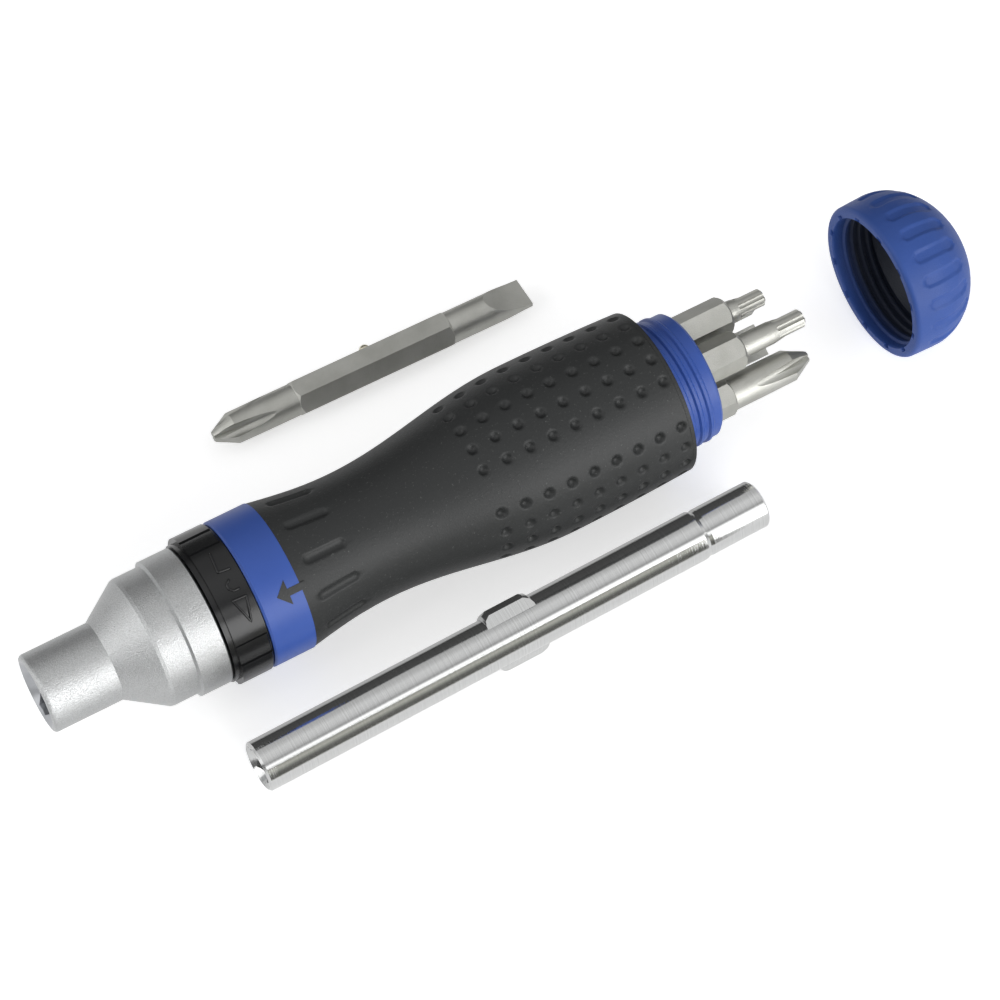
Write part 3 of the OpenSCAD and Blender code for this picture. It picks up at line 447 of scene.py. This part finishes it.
# %% Put the finishes on
FINISHES = {
    "nose_aluminium": aluminium,
    "mechanism_steel": ground_steel,
    "spring_steel": spring_wire,
    "bush_bronze": bush_bronze,
    "selector_black": selector_black,
    "core_blue": core_blue,
    "grip_rubber": grip_rubber,
    "cap_blue": cap_blue,
    "shaft_chrome": chrome,
    "bit_steel": bit_steel,
    "ball_brass": ball_brass,
}
for part in frame["record"]["subparts"]:
    mesh = nodes[part["node"]].data
    mesh.materials.clear()
    mesh.materials.append(FINISHES[part["material_slot"]])

# %% [markdown]
# ## Making new pieces
# Most added forms start as a short chain of vertices that is spun round the tool's axis. One helper makes
# such a chain. The other turns a finished bmesh into an object that rides on its body and takes its slot's
# finish.


# %% Helpers for new pieces
WELD = 0.002 * MM  # vertices closer than this become one


def finish_piece(bm, name, body, slot, smooth=True):
    bmesh.ops.remove_doubles(bm, verts=bm.verts, dist=WELD)
    bmesh.ops.recalc_face_normals(bm, faces=bm.faces)
    mesh = bpy.data.meshes.new(name)
    bm.to_mesh(mesh)
    bm.free()
    piece = bpy.data.objects.new(name, mesh)
    bpy.context.scene.collection.objects.link(piece)
    mesh.materials.append(FINISHES[slot])
    for face in mesh.polygons:
        face.use_smooth = smooth
    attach(piece, body)
    print(name, len(mesh.polygons), "faces")
    return piece


def chain(bm, points, closed=False):
    """Vertices joined by edges, as a start for a spin."""
    verts = [bm.verts.new(p) for p in points]
    pairs = list(zip(verts, verts[1:])) + ([(verts[-1], verts[0])] if closed else [])
    return verts + [bm.edges.new(pair) for pair in pairs]


# %% [markdown]
# ## Profile of the rubber
# The rubber's outline is a waist and a swell, and three short curves give it: down from the front edge to the
# waist, up along half a wave to the swell, and slightly in again towards the rear edge. The sleeve is thin at
# the waist and thicker where it swells.

# %% Outline of the rubber, with the two places as shares of its length
WAIST_R, FRONT_RISE, SWELL_RISE, REAR_DROP = 12.0 * MM, 1.7 * MM, 4.05 * MM, 0.55 * MM
WAIST_AT, SWELL_AT = 0.21, 0.69
THIN, THICKER, REAR_EDGE = 0.68 * MM, 1.7 * MM, 0.4 * MM


def rubber_radius(x):
    """Radius of the rubber at a place along the tool's axis."""
    share = (x - grip_start) / grip_len
    if share < WAIST_AT:
        return WAIST_R + FRONT_RISE * (1 - math.sin(math.pi / 2 * share / WAIST_AT))
    if share < SWELL_AT:
        return WAIST_R + SWELL_RISE * (1 - math.cos(math.pi * (share - WAIST_AT) / (SWELL_AT - WAIST_AT))) / 2
    return WAIST_R + SWELL_RISE - REAR_DROP * ((share - SWELL_AT) / (1 - SWELL_AT)) ** 2


def rubber_inside(x):
    """Radius of the sleeve's inner surface."""
    return rubber_radius(x) - THIN - THICKER * (rubber_radius(x) - WAIST_R) / SWELL_RISE


print("largest radius of the rubber", round(rubber_radius(grip_start + SWELL_AT * grip_len) / MM, 2), "mm")

# %% [markdown]
# ## Hollows pressed into a turned surface
# The rubber has rows of round dimples and a ring of finger slots, and the cap has flutes. All are shallow
# hollows in a surface that a spin makes. A fine grid of vertices is spun first. Then each vertex over a
# hollow sinks, and a vertex close to the hollow's edge slides onto that edge, so the edge comes out as a
# clean line.


# %% Helpers for hollows
SKIN = 0.01 * MM  # a vertex this close to a surface counts as on it


def steps_between(a, b, step):
    """Places from a up to b (not with b), about a step apart."""
    count = max(1, round((b - a) / step))
    return [a + (b - a) * i / count for i in range(count)]


def press(bm, radius_at, nearest, cell, flat=2):
    """Sink the outer vertices of a grid whose lines stand a cell apart.

    nearest gives (x, angle, half width, depth) of the hollow next to a place. A higher flat makes the bottom
    of the hollows flatter and their sides steeper.
    """
    for vert in bm.verts:
        x, radius = vert.co.x, math.hypot(vert.co.y, vert.co.z)
        if radius < radius_at(x) - SKIN:
            continue
        angle = math.degrees(math.atan2(-vert.co.y, vert.co.z))
        hollow = nearest(x, angle)
        if not hollow:
            continue
        middle_x, middle_angle, half, depth = hollow
        across, along = radius * math.radians(angle - middle_angle), x - middle_x
        away = math.hypot(across, along)
        if away > half + cell / 2:
            continue
        if away > half - cell / 2:
            across, along, away = across * half / away, along * half / away, half
        x = middle_x + along
        sunk = radius_at(x) - depth * (1 - (away / half) ** flat)
        vert.co = around(x, sunk, middle_angle + math.degrees(across / radius))


# %% [markdown]
# ## Rubber sleeve
# The dimples stand in four panels of five and four rows by turns, with one row left out between panels. The
# slots are plain troughs near the front edge. The arrow that runs into the bare ring is kept from the packed
# sleeve: its faces are those in front of the sleeve's front edge.

# %% Sleeve with dimples and slots
DIMPLE_ROWS, EMPTY_ROWS, DIMPLES_IN_ROW, DIMPLE_PITCH = 22, (0, 6, 11, 17), 9, 4.47 * MM
DIMPLE_R, DIMPLE_DEPTH = 1.08 * MM, 0.8 * MM
SLOTS, SLOT_LEN, SLOT_R, SLOT_DEPTH = 12, 8.5 * MM, 1.0 * MM, 0.5 * MM
GRID = 16  # cells of the fine grid between two dimples, and between two flutes of the cap
EDGE_STEP, PLAIN_STEP, INSIDE_STEP = 0.7 * MM, 1.3 * MM, 5 * MM  # coarser rings where nothing is pressed
SLEEVE_CREASE = 38  # degrees between two faces from which their edge is drawn sharp
first_dimple = grip_start + 37.3 * MM
slot_start = grip_start + 2.2 * MM
row_angle, slot_angle = 360 / DIMPLE_ROWS, 360 / SLOTS
cell = DIMPLE_PITCH / GRID


def nearest_in_rubber(x, angle):
    """The finger slot next to a place near the front edge, else the dimple, or None in a bare panel."""
    if x < slot_start + SLOT_LEN + cell:
        turn = mark_angle + (round((angle - mark_angle) / slot_angle - 0.5) + 0.5) * slot_angle
        middle = min(max(x, slot_start + SLOT_R), slot_start + SLOT_LEN - SLOT_R)
        return middle, turn, SLOT_R, SLOT_DEPTH
    row = round((mark_angle - angle) / row_angle)
    place = round((x - first_dimple) / DIMPLE_PITCH)
    if row % DIMPLE_ROWS in EMPTY_ROWS or not 0 <= place < DIMPLES_IN_ROW:
        return None
    return first_dimple + place * DIMPLE_PITCH, mark_angle - row * row_angle, DIMPLE_R, DIMPLE_DEPTH


fine_start = first_dimple - DIMPLE_PITCH / 2
fine_end = fine_start + DIMPLES_IN_ROW * DIMPLE_PITCH
rings = (
    steps_between(grip_start, slot_start, EDGE_STEP)
    + steps_between(slot_start, slot_start + SLOT_LEN, cell)
    + steps_between(slot_start + SLOT_LEN, fine_start, PLAIN_STEP)
    + steps_between(fine_start, fine_end, cell)
    + steps_between(fine_end, grip_end - REAR_EDGE, EDGE_STEP)
    + [grip_end - REAR_EDGE]
)
sleeve = bmesh.new()
sleeve.from_mesh(nodes["grip"].data)
bmesh.ops.remove_doubles(sleeve, verts=sleeve.verts, dist=WELD)
behind = [f for f in sleeve.faces if f.calc_center_median().x > grip_start - 2 * SKIN]
bmesh.ops.delete(sleeve, geom=behind, context="FACES")
print("arrow kept with", len(sleeve.faces), "faces")
arrow_mesh = bpy.data.meshes.new("arrow")
sleeve.to_mesh(arrow_mesh)
sleeve.free()

sleeve = bmesh.new()
rear_radius = rubber_radius(grip_end)
outside = [(x, rubber_radius(x)) for x in rings]
rear = [(grip_end - 0.3 * REAR_EDGE, rear_radius - 0.12 * MM), (grip_end, rear_radius - REAR_EDGE)]
inner_rings = steps_between(grip_start, grip_end, INSIDE_STEP) + [grip_end]
inside = [(x, rubber_inside(x)) for x in reversed(inner_rings)]
profile = chain(sleeve, [around(x, r, mark_angle) for x, r in outside + rear + inside], closed=True)
bmesh.ops.spin(
    sleeve, geom=profile, cent=(0, 0, 0), axis=(1, 0, 0), angle=math.tau, steps=GRID * DIMPLE_ROWS,
    use_merge=True,
)
press(sleeve, rubber_radius, nearest_in_rubber, cell)
sleeve.from_mesh(arrow_mesh)
bpy.data.meshes.remove(arrow_mesh)
rubber_sleeve = finish_piece(sleeve, "rubber_sleeve", "handle", "grip_rubber")
rubber_sleeve.data.set_sharp_from_angle(angle=math.radians(SLEEVE_CREASE))
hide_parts("grip")

# %% [markdown]
# ## Threads
# The neck's thread is a low ridge wound round the neck, and the cap has a finer one inside. A trapezoid is
# spun with a small step along the axis each time, which is how a screw is made from a spin. The two crests
# clear each other, so the cap can slide over the neck in the poses.


# %% Thread ridges
STEPS_PER_TURN = 72


def thread(name, body, slot, x, root, crest, pitch, turns, width):
    """A ridge from x on, with its foot at the root radius and its top at the crest radius."""
    bm = bmesh.new()
    half_foot, half_crest = width / 2, width / 5
    section = [(-half_foot, root), (-half_crest, crest), (half_crest, crest), (half_foot, root)]
    profile = chain(bm, [(x + along, 0, radius) for along, radius in section], closed=True)
    made = bmesh.ops.spin(
        bm, geom=profile, cent=(0, 0, 0), axis=(1, 0, 0), dvec=(pitch / STEPS_PER_TURN, 0, 0),
        angle=math.tau * turns, steps=int(turns * STEPS_PER_TURN), use_merge=False,
    )
    for tip in (profile, made["geom_last"]):
        bmesh.ops.contextual_create(bm, geom=[v for v in tip if isinstance(v, bmesh.types.BMVert)])
    return finish_piece(bm, name, body, slot, smooth=False)


neck_radius, cap_bore = 12.0 * MM, 12.9 * MM
THREAD_LEAD, THREAD_SUNK = 1.5 * MM, 0.05 * MM  # from the edge to the ridge, and how deep its foot is buried
NECK_CREST, NECK_PITCH, NECK_TURNS, NECK_WIDTH = 0.35 * MM, 1.9 * MM, 2.8, 1.3 * MM
CAP_CREST, CAP_PITCH, CAP_TURNS, CAP_WIDTH = 0.47 * MM, 1.65 * MM, 3.9, 1.0 * MM
thread(
    "neck_thread", "handle", "core_blue", grip_end + THREAD_LEAD, neck_radius - THREAD_SUNK,
    neck_radius + NECK_CREST, NECK_PITCH, NECK_TURNS, NECK_WIDTH,
)
thread(
    "cap_thread", "cap", "cap_blue", cap_start + THREAD_LEAD, cap_bore + THREAD_SUNK,
    cap_bore - CAP_CREST, CAP_PITCH, CAP_TURNS, CAP_WIDTH,
)

# %% [markdown]
# ## Cap with flutes
# The cap is spun from its profile: a flat rim with a rounded edge, a slight belly and a dome. Twenty shallow
# flutes with round ends are pressed into its side, and small notches are sunk into the inner edge of the rim.

# %% Cap
FLUTES, FLUTE_HALF, FLUTE_DEPTH, FLUTE_FLAT = 20, 1.25 * MM, 0.36 * MM, 6
NOTCHES, NOTCH_HALF, NOTCH_DEPTH, NOTCH_REACH = 12, 0.6 * MM, 0.55 * MM, 0.75 * MM
DOME_STEP, INNER_DOME_STEP, CAP_CREASE = 3.5, 8, 50  # degrees
cap_len, cap_side, rim_edge, cap_wall = cap_end - cap_start, 15.0 * MM, 0.9 * MM, 1.8 * MM
belly_at, belly_radius = 0.31 * cap_len, 15.2 * MM
flute_start, flute_end = cap_start + 3.0 * MM, cap_start + 12.3 * MM
bore_end = cap_start + 8.5 * MM
flute_cell = math.tau * cap_side / (FLUTES * GRID)


def cap_radius(x):
    """Radius of the cap's outside."""
    away = x - cap_start
    if away < rim_edge:
        return cap_side - rim_edge + math.sqrt(max(0, rim_edge ** 2 - (rim_edge - away) ** 2))
    if away < belly_at:
        return cap_side + (belly_radius - cap_side) * (away - rim_edge) / (belly_at - rim_edge)
    return belly_radius * math.sqrt(max(0, 1 - ((away - belly_at) / (cap_len - belly_at)) ** 2))


def nearest_in_cap(x, angle):
    """The flute next to a place, or None in front of the flutes and behind them."""
    if not flute_start - flute_cell < x < flute_end + flute_cell:
        return None
    turn = (round(angle / 360 * FLUTES - 0.5) + 0.5) * 360 / FLUTES
    return min(max(x, flute_start + FLUTE_HALF), flute_end - FLUTE_HALF), turn, FLUTE_HALF, FLUTE_DEPTH


def sink_notches(bm):
    """Small square notches in the inner edge of the rim."""
    for vert in bm.verts:
        angle = math.degrees(math.atan2(-vert.co.y, vert.co.z))
        across = cap_bore * math.radians(angle - round(angle * NOTCHES / 360) * 360 / NOTCHES)
        at_edge = math.hypot(vert.co.y, vert.co.z) < cap_bore + NOTCH_REACH
        if vert.co.x < cap_start + SKIN and at_edge and abs(across) < NOTCH_HALF:
            vert.co.x += NOTCH_DEPTH


def cap_profile():
    """The outside from the rim to the dome's tip, and the inside from its tip back to the rim."""
    edge = [cap_start + rim_edge * (1 - math.cos(math.radians(t))) for t in range(0, 90, 15)]
    side = steps_between(cap_start + rim_edge, flute_start, EDGE_STEP)
    fluted = steps_between(flute_start, flute_end, flute_cell)
    outside = [(x, cap_radius(x)) for x in edge + side + fluted]
    length, radius = cap_len - belly_at, belly_radius
    turns = steps_between(
        math.asin((flute_end - cap_start - belly_at) / length), math.pi / 2, math.radians(DOME_STEP)
    )
    outside += [(cap_start + belly_at + length * math.sin(t), radius * math.cos(t)) for t in turns]
    length, radius = cap_len - cap_wall - belly_at, belly_radius - cap_wall
    turns = steps_between(
        math.asin((bore_end - cap_start - belly_at) / length), math.pi / 2, math.radians(INNER_DOME_STEP)
    )
    inside = [(cap_start + belly_at + length * math.sin(t), radius * math.cos(t)) for t in reversed(turns)]
    bore = [(x, cap_bore) for x in (bore_end, cap_start + 0.6 * MM, cap_start + 0.15 * MM)]
    # the first two rings of the rim lie in the notches' reach, and the third stays flat round them
    rim = [(cap_start, cap_bore + r * MM) for r in (0.12, 0.65, 0.8)]
    return outside + [(cap_end, 0)], [(cap_end - cap_wall, 0)] + inside + bore + rim


cap_shell = bmesh.new()
outer, inner = cap_profile()
profile = chain(cap_shell, [around(x, r, 0) for x, r in inner + outer])
bmesh.ops.spin(
    cap_shell, geom=profile, cent=(0, 0, 0), axis=(1, 0, 0), angle=math.tau, steps=GRID * FLUTES,
    use_merge=True,
)
press(cap_shell, cap_radius, nearest_in_cap, flute_cell, flat=FLUTE_FLAT)
sink_notches(cap_shell)
fluted_cap = finish_piece(cap_shell, "fluted_cap", "cap", "cap_blue")
fluted_cap.data.set_sharp_from_angle(angle=math.radians(CAP_CREASE))
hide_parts("cap")

# %% [markdown]
# ## Marks of the selector
# The panel carries raised marks that show which way the selector turns: a bracket, a small hook and a
# triangle. Each is a line of points on the panel. The line becomes a thin round bar, half sunk in the
# plastic, so it reads as a raised edge.


# %% Selector marks
BAR = 0.23 * MM
BAR_STEP = 0.3  # mm between two points of a line
MM_PER_DEGREE = 0.24  # on the panel
panel_radius = 13.4 * MM


def raised_line(name, points, closed=False):
    """points are (place along the axis in mm, angle); the bar's middle lies at the panel's surface."""
    smooth = []
    loop = points + points[:1] if closed else points
    for (x0, a0), (x1, a1) in zip(loop, loop[1:]):
        count = max(2, int(math.hypot(x1 - x0, (a1 - a0) * MM_PER_DEGREE) / BAR_STEP))
        smooth += [(x0 + (x1 - x0) * i / count, a0 + (a1 - a0) * i / count) for i in range(count)]
    if not closed:
        smooth.append(points[-1])
    curve = bpy.data.curves.new(name, "CURVE")
    curve.dimensions = "3D"
    curve.bevel_depth = BAR
    curve.bevel_resolution = 2
    curve.use_fill_caps = True
    spline = curve.splines.new("POLY")
    spline.points.add(len(smooth) - 1)
    for point, (x, a) in zip(spline.points, smooth):
        point.co = (*around(x * MM, panel_radius, a), 1)
    spline.use_cyclic_u = closed
    holder = bpy.data.objects.new(name + "_line", curve)
    bpy.context.scene.collection.objects.link(holder)
    mesh = bpy.data.meshes.new_from_object(holder.evaluated_get(bpy.context.evaluated_depsgraph_get()))
    bm = bmesh.new()
    bm.from_mesh(mesh)
    bpy.data.objects.remove(holder)
    return finish_piece(bm, name, "selector", "selector_black")


raised_line("selector_bracket", [(35.27, -10.1), (34.70, 7.1), (36.95, 8.2)])
raised_line("selector_hook", [(35.82, 15.5), (34.98, 18.0), (35.0, 21.8), (35.6, 24.4), (36.77, 24.5)])
raised_line("selector_triangle", [(34.64, 30.6), (37.17, 31.2), (36.15, 50.2)], closed=True)

# %% [markdown]
# ## The studio
# The photograph was cut out on white. The floor is white paper that glows a little, and more so for the
# camera, so that only a faint shadow stays on it. Past the floor the camera sees a white world. What lights
# and mirrors see is a studio: a pale ceiling, a narrow bright strip in front of it, and dim walls on both
# sides. Its brightness depends on the angle about the X axis, because the tools lie along X and mirror that
# turn of the room. Only the wall ahead of the nose has shades of its own, for the cone mirrors that one.


# %% Floor
PAPER_GLOW, VIEW_GLOW = 0.27, 0.27  # strength for all rays, and what the camera sees on top of it
floor_half, floor_gap = 1.5, 0.05 * MM  # half its width, and how far it lies below the loose pieces
tool_middle = Vector((0.09, 0, 0))


def make_floor():
    bm = bmesh.new()
    bmesh.ops.create_grid(bm, x_segments=1, y_segments=1, size=floor_half)
    bmesh.ops.translate(bm, verts=bm.verts, vec=(tool_middle.x, 0, floor_z - floor_gap))
    mesh = bpy.data.meshes.new("floor")
    bm.to_mesh(mesh)
    bm.free()
    floor = bpy.data.objects.new("floor", mesh)
    bpy.context.scene.collection.objects.link(floor)
    material, tree, shader = new_material(
        "white paper", (0.86, 0.86, 0.86), 0.9, Emission_Strength=PAPER_GLOW,
    )
    shader.inputs["Emission Color"].default_value = (1, 1, 1, 1)
    glow = add_node(tree, "ShaderNodeEmission", Strength=VIEW_GLOW)
    rays = add_node(tree, "ShaderNodeLightPath")
    seen = add_node(tree, "ShaderNodeMixShader")
    lit = add_node(tree, "ShaderNodeAddShader")
    join(tree, shader, 0, lit, 0)
    join(tree, glow, 0, lit, 1)
    join(tree, rays, "Is Camera Ray", seen, "Fac")
    join(tree, shader, 0, seen, 1)
    join(tree, lit, 0, seen, 2)
    join(tree, seen, 0, tree.nodes["Material Output"], "Surface")
    mesh.materials.append(material)


make_floor()


# %% World and lamps
def set_ramp(ramp, stops):
    """Give a colour ramp its stops: (position, colour)."""
    elements = ramp.color_ramp.elements
    for spare in list(elements)[1:]:
        elements.remove(spare)
    elements[0].position = stops[0][0]
    elements[0].color = (*stops[0][1], 1)
    for position, colour in stops[1:]:
        elements.new(position).color = (*colour, 1)


DIFFUSE_LEVEL, MIRROR_LEVEL = 1.2, 1.8  # strength of the room as a light, and as what mirrors see
# angle about the X axis from straight up, towards the camera's side, and the brightness there
ROOM = [
    (-100, 0.07), (-60, 0.07), (-46, 0.34), (-25, 0.38), (-5, 0.52), (14, 0.48), (25, 0.38), (32, 0.24),
    (37, 0.4), (41, 1.0), (47, 1.0), (53, 0.45), (60, 0.2), (80, 0.2), (90, 0.1), (110, 0.1),
]
# the same for the wall ahead of the nose, and where it starts and is full: the X of a direction of length 1
END_WALL = [
    (-100, 0.45), (-60, 0.52), (-28, 0.85), (8, 0.72), (25, 0.3), (45, 0.12), (65, 0.1), (90, 0.2),
    (110, 0.3),
]
WALL_STARTS, WALL_FULL = -0.3, -0.65


def make_world():
    world = bpy.data.worlds.new("studio")
    bpy.context.scene.world = world
    world.use_nodes = True
    tree = world.node_tree
    place = add_node(tree, "ShaderNodeTexCoord")
    parts = add_node(tree, "ShaderNodeSeparateXYZ")
    join(tree, place, "Generated", parts, "Vector")
    back = add_node(tree, "ShaderNodeMath", operation="MULTIPLY")
    back.inputs[1].default_value = -1
    join(tree, parts, "Y", back, 0)
    angle = add_node(tree, "ShaderNodeMath", operation="ARCTAN2")
    join(tree, back, "Value", angle, 0)
    join(tree, parts, "Z", angle, 1)
    turn = add_node(tree, "ShaderNodeMapRange", From_Min=-math.pi, From_Max=math.pi)
    join(tree, angle, "Value", turn, "Value")
    walls = []
    for shades in (ROOM, END_WALL):
        ramp = add_node(tree, "ShaderNodeValToRGB")
        join(tree, turn, "Result", ramp, "Fac")
        set_ramp(ramp, [((degrees + 180) / 360, (level, level, level)) for degrees, level in shades])
        walls.append(ramp.outputs["Color"])
    ahead = add_node(tree, "ShaderNodeMapRange", From_Min=WALL_STARTS, From_Max=WALL_FULL)
    join(tree, parts, "X", ahead, "Value")
    room = add_node(tree, "ShaderNodeMix", data_type="RGBA")
    join(tree, ahead, "Result", room, "Factor")
    for wall, socket in zip(walls, colour_sockets(room.inputs)):
        tree.links.new(wall, socket)
    brightness = colour_sockets(room.outputs)[0]
    light = tree.nodes["Background"]
    light.inputs["Strength"].default_value = DIFFUSE_LEVEL
    mirrored = add_node(tree, "ShaderNodeBackground", Strength=MIRROR_LEVEL)
    for background in (light, mirrored):
        tree.links.new(brightness, background.inputs["Color"])
    white = add_node(tree, "ShaderNodeBackground")
    white.inputs["Color"].default_value = (1, 1, 1, 1)
    rays = add_node(tree, "ShaderNodeLightPath")
    in_mirrors = add_node(tree, "ShaderNodeMixShader")
    join(tree, rays, "Is Glossy Ray", in_mirrors, "Fac")
    join(tree, light, 0, in_mirrors, 1)
    join(tree, mirrored, 0, in_mirrors, 2)
    in_view = add_node(tree, "ShaderNodeMixShader")
    join(tree, rays, "Is Camera Ray", in_view, "Fac")
    join(tree, in_mirrors, 0, in_view, 1)
    join(tree, white, 0, in_view, 2)
    join(tree, in_view, 0, tree.nodes["World Output"], "Surface")


def lamp(name, place, aim, size, watts):
    """A softbox: a lit rectangle that faces the point aimed at, with its size in metres."""
    data = bpy.data.lights.new(name, "AREA")
    data.shape = "RECTANGLE"
    data.size, data.size_y = size
    data.energy = watts
    lamp_object = bpy.data.objects.new(name, data)
    bpy.context.scene.collection.objects.link(lamp_object)
    lamp_object.location = place
    lamp_object.rotation_euler = (Vector(aim) - Vector(place)).to_track_quat("-Z", "Y").to_euler()


make_world()
lamp("front_softbox", (0.27, -0.70, 0.214), tool_middle, (0.8, 0.46), 4.6)
lamp("nose_softbox", (-0.55, -0.1, 0.45), tool_middle, (0.4, 0.4), 0.9)
bpy.context.scene.view_settings.view_transform = "Standard"

# %% [markdown]
# ## Cards round the tube
# The chrome tube lies flat on the paper and would mirror the whole front softbox as one white sheet. A dark
# card stands a little in front of it, as photographers place them, so that a dark olive band stays. Its tone
# changes with its height. A low card right behind the tube keeps the handle out of the tube's far edge: it is
# pale at its foot and dark above. Only mirrors see the cards.

# %% Cards before and behind the tube
# height above the floor in mm, and the brightness there
FRONT_CARD = [(0, 0.3), (3, 0.07), (10, 0.1), (18, 0.48), (24, 0.3), (26, 0.3)]
BACK_CARD = [(0, 0.55), (8.3, 0.55), (8.7, 0.04), (14.2, 0.05)]
FRONT_GAP, BACK_GAP = 22 * MM, 0.6 * MM
OLIVE, NEUTRAL = (1, 1, 0.87), (1, 1, 1)
tube_low, tube_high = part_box("shaft_tube")


def make_card(name, y, shades, tint):
    """A card as long as the tube, upright on the floor at y."""
    height = shades[-1][0] * MM
    bm = bmesh.new()
    edge = bm.edges.new([bm.verts.new((x, y, floor_z)) for x in (tube_low.x, tube_high.x)])
    raised = bmesh.ops.extrude_edge_only(bm, edges=[edge])["geom"]
    top = [v for v in raised if isinstance(v, bmesh.types.BMVert)]
    bmesh.ops.translate(bm, verts=top, vec=(0, 0, height))
    mesh = bpy.data.meshes.new(name)
    bm.to_mesh(mesh)
    bm.free()
    card = bpy.data.objects.new(name, mesh)
    bpy.context.scene.collection.objects.link(card)
    material, tree, shader = new_material(name, (0.02, 0.02, 0.02), 0.9, Emission_Strength=1.0)
    place = add_node(tree, "ShaderNodeTexCoord")
    parts = add_node(tree, "ShaderNodeSeparateXYZ")
    share = add_node(tree, "ShaderNodeMapRange", From_Min=floor_z, From_Max=floor_z + height)
    ramp = add_node(tree, "ShaderNodeValToRGB")
    join(tree, place, "Object", parts, "Vector")
    join(tree, parts, "Z", share, "Value")
    join(tree, share, "Result", ramp, "Fac")
    join(tree, ramp, "Color", shader, "Emission Color")
    set_ramp(ramp, [(h / shades[-1][0], [level * t for t in tint]) for h, level in shades])
    mesh.materials.append(material)
    for rays in ("camera", "diffuse", "shadow", "transmission", "volume_scatter"):
        setattr(card, "visible_" + rays, False)
    print(name, "at y", round(y / MM, 1), "mm")


make_card("front_card", tube_low.y - FRONT_GAP, FRONT_CARD, OLIVE)
make_card("back_card", tube_high.y + BACK_GAP, BACK_CARD, NEUTRAL)
